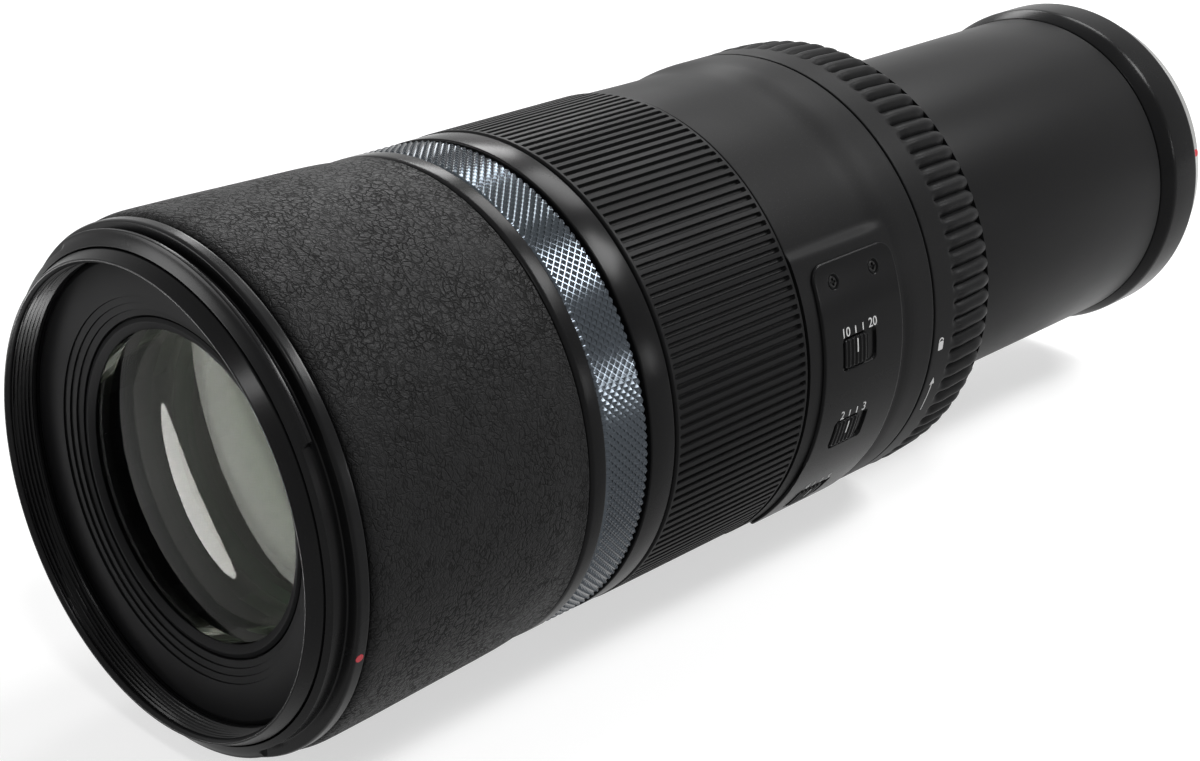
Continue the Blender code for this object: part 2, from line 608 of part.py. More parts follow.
def tripod_foot(body, main_barrel):
    """Flat foot under the body, saddled to it, round a threaded metal socket."""
    down = math.pi
    middle = FOOT_FRONT + FOOT_LENGTH / 2
    deep = AXIS_Z / 2
    foot = block("tripod_foot", (FOOT_WIDTH, FOOT_LENGTH, deep), middle, AXIS_Z - deep / 2, down, GRIP_RUBBER,
                 corner=2.5 * MM)
    saddle = turned("foot_saddle", [
        (0.0, FOOT_FRONT - FIT), (BODY_FRONT_R + FIT, FOOT_FRONT - FIT),
        (BODY_FRONT_R + FIT, FOOT_FRONT + FOOT_LENGTH + FIT), (0.0, FOOT_FRONT + FOOT_LENGTH + FIT),
    ], steps=OUTER_STEPS, closed=False)
    well = radial_bar("socket_well", SOCKET_R + FIT, AXIS_Z - SOCKET_DEPTH - 2 * FIT, AXIS_Z + FIT, middle, down,
                      steps=2 * PIN_STEPS)
    cut(foot, saddle, well)
    cut(body, well)
    cut(main_barrel, well)
    socket = radial_bar("tripod_socket", SOCKET_R, AXIS_Z - SOCKET_DEPTH - FIT, AXIS_Z - FIT, middle, down, STEEL,
                        2 * PIN_STEPS)
    cut(socket, radial_bar("socket_thread", THREAD_R, AXIS_Z - THREAD_DEPTH, AXIS_Z + FIT, middle, down,
                           steps=2 * PIN_STEPS))


def lock_ring():
    """Lock ring with scalloped ribs, and the felt that wipes the tube inside its web."""
    chamfer = 2 * RING_CHAMFER
    wall_bore = LOCK_R - LOCK_WALL - LOCK_GROOVE_DEPTH
    web_bore = GUIDE_R + FIT
    lock = turned("lock_ring", [
        (wall_bore, LOCK_FRONT), (LOCK_R, LOCK_FRONT), (LOCK_R, LOCK_REAR - chamfer),
        (LOCK_R - chamfer, LOCK_REAR), (web_bore, LOCK_REAR), (web_bore, LOCK_REAR - LOCK_WEB),
        (wall_bore, LOCK_REAR - LOCK_WEB),
    ], MATTE_BLACK, OUTER_STEPS)
    front = LOCK_FRONT + LOCK_PLAIN
    rear = LOCK_REAR + FIT
    centre_r = LOCK_R + LOCK_GROOVE_R - LOCK_GROOVE_DEPTH

    def scallop(bm, angle):
        place = Matrix.Rotation(angle, 4, "Y") @ Matrix.Translation((0.0, (front + rear) / 2, centre_r))
        turn = Matrix.Rotation(-math.pi / 2, 4, "X")
        bmesh.ops.create_cone(bm, cap_ends=True, segments=6, radius1=LOCK_GROOVE_R, radius2=LOCK_GROOVE_R,
                              depth=rear - front, matrix=place @ turn)

    cut(lock, round_array("lock_scallops", LOCK_RIBS, scallop))
    felt_rear = LOCK_REAR - FIT
    ring("felt_seal", TUBE_R + FIT / 2, GUIDE_R, felt_rear - FELT_LENGTH, felt_rear, FELT_BLACK, OUTER_STEPS)


def tube_guide():
    """Guide sleeve with straight slots, fixed in the barrel, for the keys on the rear tube."""
    front = KEY_STATION - TUBE_TRAVEL - KEY_R - GUIDE_LEAD
    rear = LOCK_REAR - FELT_LENGTH - 2 * FIT
    flange_rear = BODY_REAR - GUIDE_FLANGE_SETBACK
    flange_front = flange_rear - GUIDE_FLANGE_LENGTH
    guide = turned("guide_sleeve", [
        (GUIDE_BORE_R, front), (GUIDE_R, front), (GUIDE_R, flange_front), (BARREL_BORE_R - FIT, flange_front),
        (BARREL_BORE_R - FIT, flange_rear), (GUIDE_R, flange_rear), (GUIDE_R, rear), (GUIDE_BORE_R, rear),
    ], MATTE_BLACK, OUTER_STEPS)
    slot_half = KEY_R + GUIDE_SLOT_FIT
    slot_front = KEY_STATION - TUBE_TRAVEL - slot_half
    slot_rear = KEY_STATION + slot_half
    for index in range(KEY_COUNT):
        angle = 2 * math.pi * index / KEY_COUNT
        size = (2 * slot_half, slot_rear - slot_front, 4 * GUIDE_WALL)
        cut(guide, block("key_slot_%d" % (index + 1), size, (slot_front + slot_rear) / 2, GUIDE_R, angle))
        radial_bar("guide_key_%d" % (index + 1), KEY_R, TUBE_R + FIT, GUIDE_R - FIT, KEY_STATION, angle, BRASS)


def rear_tube():
    """Drawn-out tube, its rear collar, the bayonet plate and what they carry."""
    bore = TUBE_R - TUBE_WALL
    ring("rear_tube", bore, TUBE_R, TUBE_FRONT, TUBE_REAR, SATIN_BLACK, OUTER_STEPS)
    spigot_r = bore - FIT
    spigot_bore = spigot_r - COLLAR_SPIGOT_WALL
    spigot_front = COLLAR_FRONT - COLLAR_SPIGOT_LENGTH
    hub_bore = MOUNT_SPIGOT_R + FIT
    hub_front = COLLAR_FRONT + COLLAR_HUB_SETBACK
    cone_rear = COLLAR_FRONT + COLLAR_CONE
    bevel_front = COLLAR_REAR - COLLAR_BEVEL
    collar = turned("mount_collar", [
        (spigot_r, spigot_front), (spigot_r, COLLAR_FRONT), (TUBE_R, COLLAR_FRONT), (COLLAR_R, cone_rear),
        (COLLAR_R, bevel_front), (FLANGE_R + FLANGE_STEP / 2, COLLAR_REAR), (hub_bore, COLLAR_REAR),
        (hub_bore, hub_front), (spigot_bore, hub_front), (spigot_bore, spigot_front),
    ], SATIN_BLACK, OUTER_STEPS)
    plate = bayonet_plate()
    for index in range(MOUNT_SCREW_COUNT):
        mount_screw(index, plate, collar)

    baffle_front = hub_front + BAFFLE_SETBACK
    baffle_rear = baffle_front + BAFFLE_THICKNESS
    baffle = turned("rear_baffle", [
        (0.0, baffle_front), (hub_bore - FIT, baffle_front),
        (hub_bore - FIT, baffle_rear), (0.0, baffle_rear),
    ], MATTE_BLACK, closed=False)
    half_window = MOUNT_SPIGOT_R - BAFFLE_SIDE, MOUNT_SPIGOT_R - BAFFLE_TOP
    window = (2 * half_window[0], 4 * BAFFLE_THICKNESS, 2 * half_window[1])
    cut(baffle, block("baffle_window", window, baffle_front, 0.0, 0.0))
    contacts()


def bayonet_plate():
    """Bayonet plate: flange, spigot into the collar, short barrel and its lugs."""
    lug_front = TOTAL_LENGTH - LUG_THICKNESS
    spigot_front = FLANGE_FRONT - MOUNT_SPIGOT_LENGTH
    plate = turned("mount_plate", [
        (THROAT_R, spigot_front), (MOUNT_SPIGOT_R, spigot_front), (MOUNT_SPIGOT_R, FLANGE_FRONT),
        (FLANGE_R, FLANGE_FRONT), (FLANGE_R, FLANGE_REAR), (BAYONET_R, FLANGE_REAR), (BAYONET_R, lug_front),
        (LUG_R, lug_front), (LUG_R, TOTAL_LENGTH), (THROAT_R, TOTAL_LENGTH),
    ], BRIGHT_CHROME, OUTER_STEPS)
    for index in range(LUG_COUNT):
        angle = 2 * math.pi * (index + 0.5) / LUG_COUNT
        height = 2 * (LUG_R - BAYONET_R)
        size = (LUG_GAP_WIDTH, 2 * LUG_THICKNESS, height)
        reach = BAYONET_R + 0.05 * MM + height / 2
        cut(plate, block("lug_gap_%d" % (index + 1), size, TOTAL_LENGTH - LUG_THICKNESS / 2, reach, angle))
    return plate


def mount_screw(index, plate, collar):
    """One of the screws that hold the bayonet plate to the collar, with its holes."""
    angle = 2 * math.pi * (index + 0.5) / MOUNT_SCREW_COUNT
    number = index + 1
    head_front = FLANGE_REAR - MOUNT_SCREW_HEAD - 0.1 * MM
    tip = head_front - MOUNT_SCREW_LENGTH
    pitch = MOUNT_SCREW_PITCH_R
    cut(plate, axial_bar("mount_head_hole_%d" % number, MOUNT_SCREW_HEAD_R + FIT, head_front - FIT,
                         FLANGE_REAR + FIT, pitch, angle))
    shank_hole = axial_bar("mount_shank_hole_%d" % number, MOUNT_SCREW_R + FIT, tip - FIT, head_front,
                           pitch, angle)
    cut(plate, shank_hole)
    cut(collar, shank_hole)
    screw = axial_bar("mount_screw_%d" % number, MOUNT_SCREW_HEAD_R, head_front, FLANGE_REAR - 0.1 * MM,
                      pitch, angle, STEEL)
    shank = axial_bar("mount_shank_%d" % number, MOUNT_SCREW_R, tip, head_front + MOUNT_SCREW_HEAD / 2,
                      pitch, angle)
    combine(screw, shank, "UNION")


def contacts():
    """Contact block in the bottom of the throat, and its gilt strip."""
    down = math.pi
    outer = THROAT_R - FIT
    inner = outer - CONTACT_DEPTH
    block_rear = TOTAL_LENGTH - FIT - CONTACT_STRIP_THICKNESS
    block_front = block_rear - CONTACT_LENGTH
    body = ring("contact_block", inner, outer, block_front, block_rear, MATTE_BLACK, OUTER_STEPS)
    size = (CONTACT_WIDTH, 2 * CONTACT_LENGTH, THROAT_R)
    combine(body, block("contact_outline", size, block_rear, outer, down), "INTERSECT")
    strip_front = block_rear + FIT / 2
    strip_rear = TOTAL_LENGTH - FIT / 2
    strip = ring("contact_strip", inner + CONTACT_BORDER, outer - CONTACT_BORDER, strip_front, strip_rear, GOLD,
                 OUTER_STEPS)
    narrow = (CONTACT_WIDTH - 2 * CONTACT_BORDER, 2 * CONTACT_LENGTH, THROAT_R)
    combine(strip, block("strip_outline", narrow, block_rear, outer, down), "INTERSECT")
    pitch = narrow[0] / CONTACT_COUNT
    for index in range(1, CONTACT_COUNT):
        angle = down + (index - CONTACT_COUNT / 2) * pitch / (outer - CONTACT_DEPTH / 2)
        groove = (0.3 * pitch, CONTACT_STRIP_THICKNESS, 2 * CONTACT_DEPTH)
        cut(strip, block("contact_gap_%d" % index, groove, strip_rear, outer - CONTACT_DEPTH / 2, angle))


def front_group():
    """Front cell with three glass groups, the main board and the fixed stop."""
    rim = CELL_FRONT
    turned("front_cell", [
        (CELL_BORE_R, rim), (CELL_BORE_R + CELL_WALL, rim), (CELL_BORE_R + CELL_WALL, DOUBLET_FRONT),
        (CELL_LAND_R, DOUBLET_FRONT), (CELL_LAND_R, DOUBLET_FRONT + CELL_LAND),
        (CELL_BORE_R + CELL_WALL, DOUBLET_FRONT + CELL_LAND), (CELL_BORE_R + CELL_WALL, CELL_REAR - CELL_LAND),
        (CELL_LAND_R, CELL_REAR - CELL_LAND), (CELL_LAND_R, CELL_REAR), (CELL_BORE_R, CELL_REAR),
    ], MATTE_BLACK)
    glass("glass_front", FRONT_GLASS_R, rim, rim + FRONT_GLASS_EDGE, FRONT_GLASS_BOW, -1.0 * MM)
    glass("glass_doublet", FRONT_GLASS_R, DOUBLET_FRONT, DOUBLET_FRONT + DOUBLET_EDGE, 0.6 * MM, 0.8 * MM)
    glass("glass_third", FRONT_GLASS_R, THIRD_FRONT, THIRD_FRONT + THIRD_EDGE, -0.6 * MM, 0.0)
    ring("main_board", STOP_R + 1.5 * MM, PLATE_R, BOARD_FRONT, BOARD_FRONT + BOARD_THICKNESS, BOARD_GREEN)
    ring("aperture_stop", STOP_R, PLATE_R, STOP_FRONT, STOP_FRONT + STOP_THICKNESS, MATTE_BLACK)


def focus_group():
    """Focus stage: plate, motor, lead screw, two rods and the carrier that rides on them."""
    base = ring("focus_base", STOP_R, PLATE_R, FOCUS_BASE_FRONT, FOCUS_BASE_REAR, MATTE_BLACK)
    steady_base = ring("steady_base", STOP_R, PLATE_R, STEADY_BASE_FRONT, STEADY_BASE_REAR, MATTE_BLACK)
    middle = STEADY_BASE_FRONT - STAGE_GAP - FOCUS_THROW - CARRIER_LENGTH / 2
    front = middle - CARRIER_LENGTH / 2
    rear = middle + CARRIER_LENGTH / 2
    carrier_r = FOCUS_GLASS_R + CARRIER_WALL
    carrier_bore = FOCUS_GLASS_R + FIT
    arm_thickness = CARRIER_LENGTH / 2
    arm_reach = ROD_PITCH_R + ARM_OVERHANG
    carrier = ring("focus_carrier", carrier_bore, carrier_r, front, rear, MATTE_BLACK)
    inner = carrier_bore + CARRIER_WALL / 4
    arms = {"rod_arm_1": math.pi / 2, "rod_arm_2": -math.pi / 2, "nut_arm": LEAD_SCREW_ANGLE}
    for name, angle in arms.items():
        size = (ARM_WIDTH, arm_thickness, arm_reach - inner)
        combine(carrier, block(name, size, middle, (arm_reach + inner) / 2, angle), "UNION")
    grip = FIT / 2
    for index, angle in enumerate((math.pi / 2, -math.pi / 2), 1):
        rod_front = FOCUS_BASE_FRONT + PLATE_THICKNESS / 2
        rod_rear = STEADY_BASE_REAR - PLATE_THICKNESS / 2
        hole = axial_bar("rod_hole_%d" % index, ROD_R + grip, rod_front - FIT, rod_rear + FIT, ROD_PITCH_R, angle)
        cut(base, hole)
        cut(steady_base, hole)
        cut(carrier, hole)
        axial_bar("guide_rod_%d" % index, ROD_R, rod_front, rod_rear, ROD_PITCH_R, angle, STEEL)
    motor_rear = FOCUS_BASE_REAR + FIT + MOTOR_LENGTH
    axial_bar("focus_motor", MOTOR_R, FOCUS_BASE_REAR + FIT, motor_rear, ROD_PITCH_R, LEAD_SCREW_ANGLE, STEEL,
              2 * PIN_STEPS)
    screw_rear = STEADY_BASE_REAR - PLATE_THICKNESS / 2
    nut_hole = axial_bar("lead_screw_hole", LEAD_SCREW_R + grip, motor_rear, screw_rear + FIT, ROD_PITCH_R,
                         LEAD_SCREW_ANGLE)
    cut(carrier, nut_hole)
    cut(steady_base, nut_hole)
    axial_bar("lead_screw", LEAD_SCREW_R, motor_rear + FIT, screw_rear, ROD_PITCH_R, LEAD_SCREW_ANGLE, BRASS)
    glass("glass_focus", FOCUS_GLASS_R, front + 0.6 * MM, rear - 0.6 * MM, 0.5 * MM, -0.8 * MM)


def steady_group():
    """Image stabiliser: a frame that slides across, and in it a carrier that slides up and down."""
    frame_r = BARREL_BORE_R - STEADY_THROW - STEADY_FRAME_CLEARANCE
    carrier_bore = STEADY_GLASS_R + FIT
    tube_r = carrier_bore + STEADY_TUBE_WALL
    frame_bore = tube_r + 2 * STEADY_THROW
    coil_r = (frame_bore + frame_r) / 2
    ring("steady_frame", frame_bore, frame_r, FRAME_FRONT, FRAME_REAR, MATTE_BLACK)
    turned("steady_carrier", [
        (carrier_bore, FRAME_FRONT), (tube_r, FRAME_FRONT), (tube_r, STEADY_FRONT),
        (frame_r - STEADY_THROW, STEADY_FRONT), (frame_r - STEADY_THROW, STEADY_REAR), (carrier_bore, STEADY_REAR),
    ], MATTE_BLACK)
    glass("glass_steady", STEADY_GLASS_R, FRAME_FRONT + 0.3 * MM, STEADY_REAR - 0.3 * MM, -0.7 * MM, 0.4 * MM)
    size = (COIL_SIZE, COIL_THICKNESS, COIL_SIZE)
    half = COIL_THICKNESS / 2
    across = math.pi / 2
    block("magnet_x", size, STEADY_BASE_REAR + FIT + half, coil_r, across, STEEL)
    block("coil_x", size, COIL_X_FRONT + half, coil_r, across, COPPER)
    block("coil_z", size, COIL_Z_FRONT + half, coil_r, 0.0, COPPER)
    block("magnet_z", size, REAR_CELL_FRONT - FIT - half, coil_r, 0.0, STEEL)


def rear_group():
    """Rear cell with the last two glass groups."""
    bore = REAR_GLASS_R + FIT
    wall_r = bore + CELL_WALL
    flange_rear = REAR_CELL_FRONT + 2.0 * MM
    turned("rear_cell", [
        (bore, REAR_CELL_FRONT), (PLATE_R, REAR_CELL_FRONT), (PLATE_R, flange_rear), (wall_r, flange_rear),
        (wall_r, REAR_CELL_REAR), (bore, REAR_CELL_REAR),
    ], MATTE_BLACK)
    half = REAR_CELL_LENGTH / 2
    glass("glass_sixth", REAR_GLASS_R, REAR_CELL_FRONT + 0.6 * MM, REAR_CELL_FRONT + half - 0.6 * MM,
          0.4 * MM, -0.4 * MM)
    glass("glass_rear", REAR_GLASS_R, REAR_CELL_FRONT + half + 0.6 * MM, REAR_CELL_REAR - 0.6 * MM, -0.5 * MM,
          0.3 * MM)


front_rings()
rear_body(barrel())
control_ring()
focus_ring()
lock_ring()
tube_guide()
rear_tube()
front_group()
focus_group()
steady_group()
rear_group()
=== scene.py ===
# %% [markdown]
# # A drawn-out telephoto lens
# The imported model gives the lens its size, its pieces and its joints. This lesson dresses it:
# each turned part becomes a fine surface worked out with numpy, and each finish a node material.
# We start by loading the frame and keeping its box, because the dressed lens may not outgrow it.

# %% Load the frame
import bpy
import math
import numpy as np
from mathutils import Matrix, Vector


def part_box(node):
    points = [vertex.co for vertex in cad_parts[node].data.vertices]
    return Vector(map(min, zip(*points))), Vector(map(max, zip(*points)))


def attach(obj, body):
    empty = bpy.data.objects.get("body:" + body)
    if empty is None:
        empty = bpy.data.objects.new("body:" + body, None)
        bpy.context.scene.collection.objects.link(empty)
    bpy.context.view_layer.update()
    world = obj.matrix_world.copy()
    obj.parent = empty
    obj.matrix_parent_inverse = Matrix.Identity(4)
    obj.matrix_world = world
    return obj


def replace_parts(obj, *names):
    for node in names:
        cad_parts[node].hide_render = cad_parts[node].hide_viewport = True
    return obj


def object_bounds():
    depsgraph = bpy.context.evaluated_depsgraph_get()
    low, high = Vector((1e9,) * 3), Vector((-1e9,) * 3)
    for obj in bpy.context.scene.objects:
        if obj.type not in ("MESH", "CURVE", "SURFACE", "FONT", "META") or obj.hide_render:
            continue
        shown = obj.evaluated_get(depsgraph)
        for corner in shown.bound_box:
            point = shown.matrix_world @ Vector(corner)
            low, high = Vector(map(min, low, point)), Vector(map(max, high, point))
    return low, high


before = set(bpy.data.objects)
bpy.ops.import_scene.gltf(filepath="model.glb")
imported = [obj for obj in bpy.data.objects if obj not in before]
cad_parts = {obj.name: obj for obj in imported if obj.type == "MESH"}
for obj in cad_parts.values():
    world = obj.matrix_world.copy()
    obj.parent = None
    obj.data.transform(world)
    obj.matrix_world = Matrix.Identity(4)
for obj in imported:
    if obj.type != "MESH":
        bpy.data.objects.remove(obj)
cad_box = [list(map(float, corner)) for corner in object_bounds()]


def link(obj):
    """Puts an object into the scene and gives it back."""
    bpy.context.scene.collection.objects.link(obj)
    return obj


# %% [markdown]
# ## Reading sizes from the frame
# Nearly every part is turned about the optical axis, so a node's box says all we need: where
# the part starts and ends along +Y, and its largest radius. Angles run from straight up to +X.

# %% Stations and radii
MM = 0.001
FIT = 0.3 * MM
AXIS_Z = float(sum(corner[2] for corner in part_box("rear_tube"))) / 2


def span(node):
    """Front, rear and largest radius of a turned CAD node."""
    low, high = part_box(node)
    return float(low[1]), float(high[1]), float(high[2] - low[2]) / 2


def around(radius, angle, y):
    """Points at a radius and an angle round the axis: x is r sin a, z is r cos a above it."""
    radius, angle, y = np.broadcast_arrays(radius, angle, y)
    return np.stack([radius * np.sin(angle), y, AXIS_Z + radius * np.cos(angle)], axis=-1)


def mm(*lengths):
    """Array of lengths given in millimetres."""
    return np.array(lengths) * MM


FRONT_Y = span("filter_ring")[0]
print("front rim at", round(FRONT_Y, 4), "bayonet end at", round(span("mount_plate")[1], 4))

# %% [markdown]
# ## The camera
# The photograph was taken from the front right, a little above. Fitting the ellipses of the
# rings gave the viewpoint and the focal length, so the camera sits at a real distance and the
# near rim looms as it does in the photograph. It has no shift and no depth of field.

# %% Camera
PHOTO_WIDTH = 1200
FOCAL_PIXELS = 2162.0
CAMERA_FROM_RIM = Vector((0.2698, -0.1732, 0.1544))
CAMERA_LOOKS = Vector((-0.6406, 0.6612, -0.3904))

camera_data = bpy.data.cameras.new("camera")
camera_data.sensor_width = 36.0
camera_data.lens = FOCAL_PIXELS / PHOTO_WIDTH * camera_data.sensor_width
camera_data.clip_start = 0.01
camera = link(bpy.data.objects.new("camera", camera_data))
camera.location = Vector((0.0, FRONT_Y, AXIS_Z)) + CAMERA_FROM_RIM
camera.rotation_euler = CAMERA_LOOKS.to_track_quat("-Z", "Y").to_euler()
bpy.context.scene.camera = camera
bpy.context.scene.view_settings.view_transform = "Standard"
print("lens", round(camera_data.lens, 1), "mm")

# %% [markdown]
# ## Building surfaces from arrays
# A surface is a grid of points. One helper turns a grid into a mesh, closing it in either
# direction. A turned part is a closed outline carried once round the axis, and a function of
# angle, radius and station may lift it, which gives ribs, scallops and knurls.

# %% Grid to mesh
CORNER_SHARE = 0.45


def add_piece(name, points, quads, body, material, replaced=(), sharp=40.0):
    """Mesh object from an array of points and an array of quads, riding on a body."""
    mesh = bpy.data.meshes.new(name)
    mesh.vertices.add(len(points))
    mesh.vertices.foreach_set("co", np.ascontiguousarray(points, dtype=np.float32).ravel())
    mesh.loops.add(quads.size)
    mesh.loops.foreach_set("vertex_index", np.ascontiguousarray(quads, dtype=np.int32).ravel())
    mesh.polygons.add(len(quads))
    mesh.polygons.foreach_set("loop_start", np.arange(0, quads.size, 4, dtype=np.int32))
    mesh.update(calc_edges=True)
    mesh.validate()
    mesh.shade_smooth()
    mesh.set_sharp_from_angle(angle=math.radians(sharp))
    mesh.materials.append(material)
    obj = link(bpy.data.objects.new(name, mesh))
    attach(obj, body)
    if replaced:
        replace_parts(obj, *replaced)
    print(name, len(quads), "quads")


def grid_quads(rows, columns, close_rows=True, close_columns=True):
    """Quads of a grid of points: each joins a point to the next row, both, and the next column."""
    index = np.arange(rows * columns).reshape(rows, columns)
    below, beside = np.roll(index, -1, axis=0), np.roll(index, -1, axis=1)
    quads = np.stack([index, below, np.roll(below, -1, axis=1), beside], axis=-1)
    last_row = rows if close_rows else rows - 1
    last_column = columns if close_columns else columns - 1
    return quads[:last_row, :last_column].reshape(-1, 4)


def rounded(corners, radius, steps=5):
    """Closed outline with curved corners: start, corner, end weigh (1-t)^2, 2t(1-t), t^2."""
    corner = np.asarray(corners, dtype=float)
    back = np.roll(corner, 1, axis=0) - corner
    ahead = np.roll(corner, -1, axis=0) - corner
    back_length = np.linalg.norm(back, axis=1, keepdims=True)
    ahead_length = np.linalg.norm(ahead, axis=1, keepdims=True)
    reach = np.broadcast_to(np.asarray(radius, dtype=float).reshape(-1, 1), (len(corner), 1))
    start = corner + back / back_length * np.minimum(reach, CORNER_SHARE * back_length)
    end = corner + ahead / ahead_length * np.minimum(reach, CORNER_SHARE * ahead_length)
    t = np.linspace(0.0, 1.0, steps)[None, :, None]
    curve = (1 - t) ** 2 * start[:, None] + 2 * t * (1 - t) * corner[:, None]
    return (curve + t ** 2 * end[:, None]).reshape(-1, 2)


def densified(outline, step):
    """Outline with points added along each straight so that none is longer than about a step."""
    ahead = np.roll(outline, -1, axis=0)
    counts = np.maximum(1, np.ceil(np.linalg.norm(ahead - outline, axis=1) / step).astype(int))
    owner = np.repeat(np.arange(len(outline)), counts)
    first = np.repeat(np.cumsum(counts) - counts, counts)
    share = (np.arange(counts.sum()) - first) / counts[owner]
    return outline[owner] + (ahead - outline)[owner] * share[:, None]


def turned(name, outline, body, material, replaced=(), segments=192, lift=None, sharp=40.0):
    """Closed outline of (radius, y) carried round a count or list of angles, and lifted."""
    outline = np.asarray(outline, dtype=float)
    ahead = np.roll(outline, -1, axis=0)
    area = np.sum(outline[:, 0] * ahead[:, 1] - ahead[:, 0] * outline[:, 1])
    outline = outline if area > 0 else outline[::-1]
    even = np.isscalar(segments)
    angle = np.linspace(0.0, 2 * np.pi, segments, endpoint=False) if even else np.asarray(segments)
    angle, radius, y = angle[:, None], outline[None, :, 0], outline[None, :, 1]
    if lift is not None:
        radius = radius + lift(angle, radius, y)
    points = around(radius, angle, y).reshape(-1, 3)
    quads = grid_quads(len(angle), len(outline))
    add_piece(name, points, quads, body, material, replaced, sharp)


def step_up(value, low, high):
    """Smooth step: 0 below low, 1 above high, and 3t^2 - 2t^3 between."""
    t = np.clip((value - low) / (high - low), 0.0, 1.0)
    return t * t * (3 - 2 * t)


# %% [markdown]
# ## Finishes shared by many parts
# Two effects come back in most finishes, so each is a node group made once: a fine grain, and
# soft smudges that vary the gloss. A third group makes the creased cells of moulded leather.
# They read Object coordinates, so they stay on the part when it moves.

# %% Node groups


def new_group(name, inputs, outputs):
    """Empty shader node group with named float sockets."""
    group = bpy.data.node_groups.new(name, "ShaderNodeTree")
    for label, value in inputs.items():
        socket = group.interface.new_socket(label, in_out="INPUT", socket_type="NodeSocketFloat")
        socket.default_value = value
    for label in outputs:
        group.interface.new_socket(label, in_out="OUTPUT", socket_type="NodeSocketFloat")
    return group, group.nodes.new("NodeGroupInput"), group.nodes.new("NodeGroupOutput")


def feed(made, sources):
    """Gives a node its inputs: an output socket is linked, and any other value is set."""
    for key, source in sources.items():
        if isinstance(source, bpy.types.NodeSocket):
            made.id_data.links.new(source, made.inputs[key])
        else:
            made.inputs[key].default_value = source


def node(tree, kind, sources=None, **settings):
    """Outputs of a new node with settings and inputs."""
    made = tree.nodes.new(kind)
    for key, value in settings.items():
        setattr(made, key, value)
    feed(made, sources or {})
    return made.outputs


def noise_at(tree, place, scale, detail):
    """Noise at a place, with a scale in cells per metre."""
    return node(tree, "ShaderNodeTexNoise", {"Vector": place, "Scale": scale, "Detail": detail})


def remap(tree, value, smooth=False, **ends):
    """Value carried from one range to another, whose ends have the node's names with _."""
    sources = {key.replace("_", " "): end for key, end in ends.items()}
    kind = "SMOOTHSTEP" if smooth else "LINEAR"
    return node(tree, "ShaderNodeMapRange", {"Value": value, **sources}, interpolation_type=kind)[0]


def total(tree, first, second, operation="ADD"):
    """Sum, or another combination, of two values."""
    return node(tree, "ShaderNodeMath", {0: first, 1: second}, operation=operation)[0]


def grain_group():
    """Fine moulded grain: noise at the grain size, as a height and as a mask of its peaks."""
    group, given, out = new_group("fine_grain", {"Cells per metre": 2500.0}, ("Height", "Peaks"))
    place = node(group, "ShaderNodeTexCoord")["Object"]
    noise = noise_at(group, place, given.outputs[0], 3.0)["Fac"]
    feed(out, {"Height": noise, "Peaks": remap(group, noise, From_Min=0.58, From_Max=0.72)})
    return group


def smudge_group():
    """Handling smudges: broad noise between a least and a greatest value, for roughness."""
    inputs = {"Cells per metre": 28.0, "Least": 0.3, "Greatest": 0.45}
    group, given, out = new_group("handling_smudge", inputs, ("Value", "Mask"))
    place = node(group, "ShaderNodeTexCoord")["Object"]
    noise = noise_at(group, place, given.outputs[0], 5.0)["Fac"]
    value = remap(group, noise, From_Min=0.3, From_Max=0.7,
                  To_Min=given.outputs["Least"], To_Max=given.outputs["Greatest"])
    feed(out, {"Value": value, "Mask": noise})
    return group


def leather_group():
    """Creased leather: distance to the borders of bent cells of two sizes, worn in patches."""
    inputs = {"Cells per metre": 740.0}
    group, given, out = new_group("leather_crease", inputs, ("Height", "Crease"))
    place = node(group, "ShaderNodeTexCoord")["Object"]
    bend = noise_at(group, place, 420.0, 3.0)
    push = node(group, "ShaderNodeVectorMath", {0: bend["Color"], 1: 3 * (3.0 * MM,)},
                operation="MULTIPLY")
    bent = node(group, "ShaderNodeVectorMath", {0: place, 1: push[0]})[0]

    def border(scale):
        """Distance to the borders of cells of one size."""
        return node(group, "ShaderNodeTexVoronoi", {"Vector": bent, "Scale": scale},
                    feature="DISTANCE_TO_EDGE")["Distance"]

    wide = remap(group, border(given.outputs[0]), True, From_Max=0.14)
    finer = total(group, given.outputs[0], 2.1, "MULTIPLY")
    fine = remap(group, border(finer), True, From_Max=0.20, To_Max=0.30)
    swell = remap(group, bend["Fac"], From_Min=0.3, From_Max=0.7, To_Max=0.8)
    patch = noise_at(group, place, 150.0, 2.0)["Fac"]
    crisp = remap(group, patch, From_Min=0.36, From_Max=0.60, To_Min=0.50)
    worn = node(group, "ShaderNodeMix", {"Factor": crisp, "A": 1.0, "B": wide})[0]
    # Crease, the worn crease mask, also paints shade into the creases of the leather colour.
    feed(out, {"Height": total(group, total(group, worn, fine), swell), "Crease": worn})
    return group


GRAIN = grain_group()
SMUDGE = smudge_group()
LEATHER = leather_group()
print("node groups", [g.name for g in (GRAIN, SMUDGE, LEATHER)])

# %% [markdown]
# ## Plastics, rubber, metal and glass
# A black part on a white ground is nearly all gloss, so what tells satin paint from speckled
# plastic or rubber is the roughness and the bump. Each finish takes a colour, a range of
# roughness and a grain. Its colour drifts a little towards a dusty one where it is smudged.

# %% Finish builder
GRAIN_STEP = 0.02 * MM
CREASE_STEP = 0.14 * MM


def new_material(name):
    """Material with its node tree and its shader."""
    material = bpy.data.materials.new(name)
    material.use_nodes = True
    return material, material.node_tree, material.node_tree.nodes["Principled BSDF"]


def use(tree, group, sources=None):
    """Outputs of a node group used in a material."""
    return node(tree, "ShaderNodeGroup", sources, node_tree=group)


def blend(tree, share, first, second):
    """Colour that goes from a first to a second as a share goes from 0 to 1."""
    sources = {"Factor": share, 6: (*first, 1.0), 7: (*second, 1.0)}
    return node(tree, "ShaderNodeMix", sources, data_type="RGBA")[2]


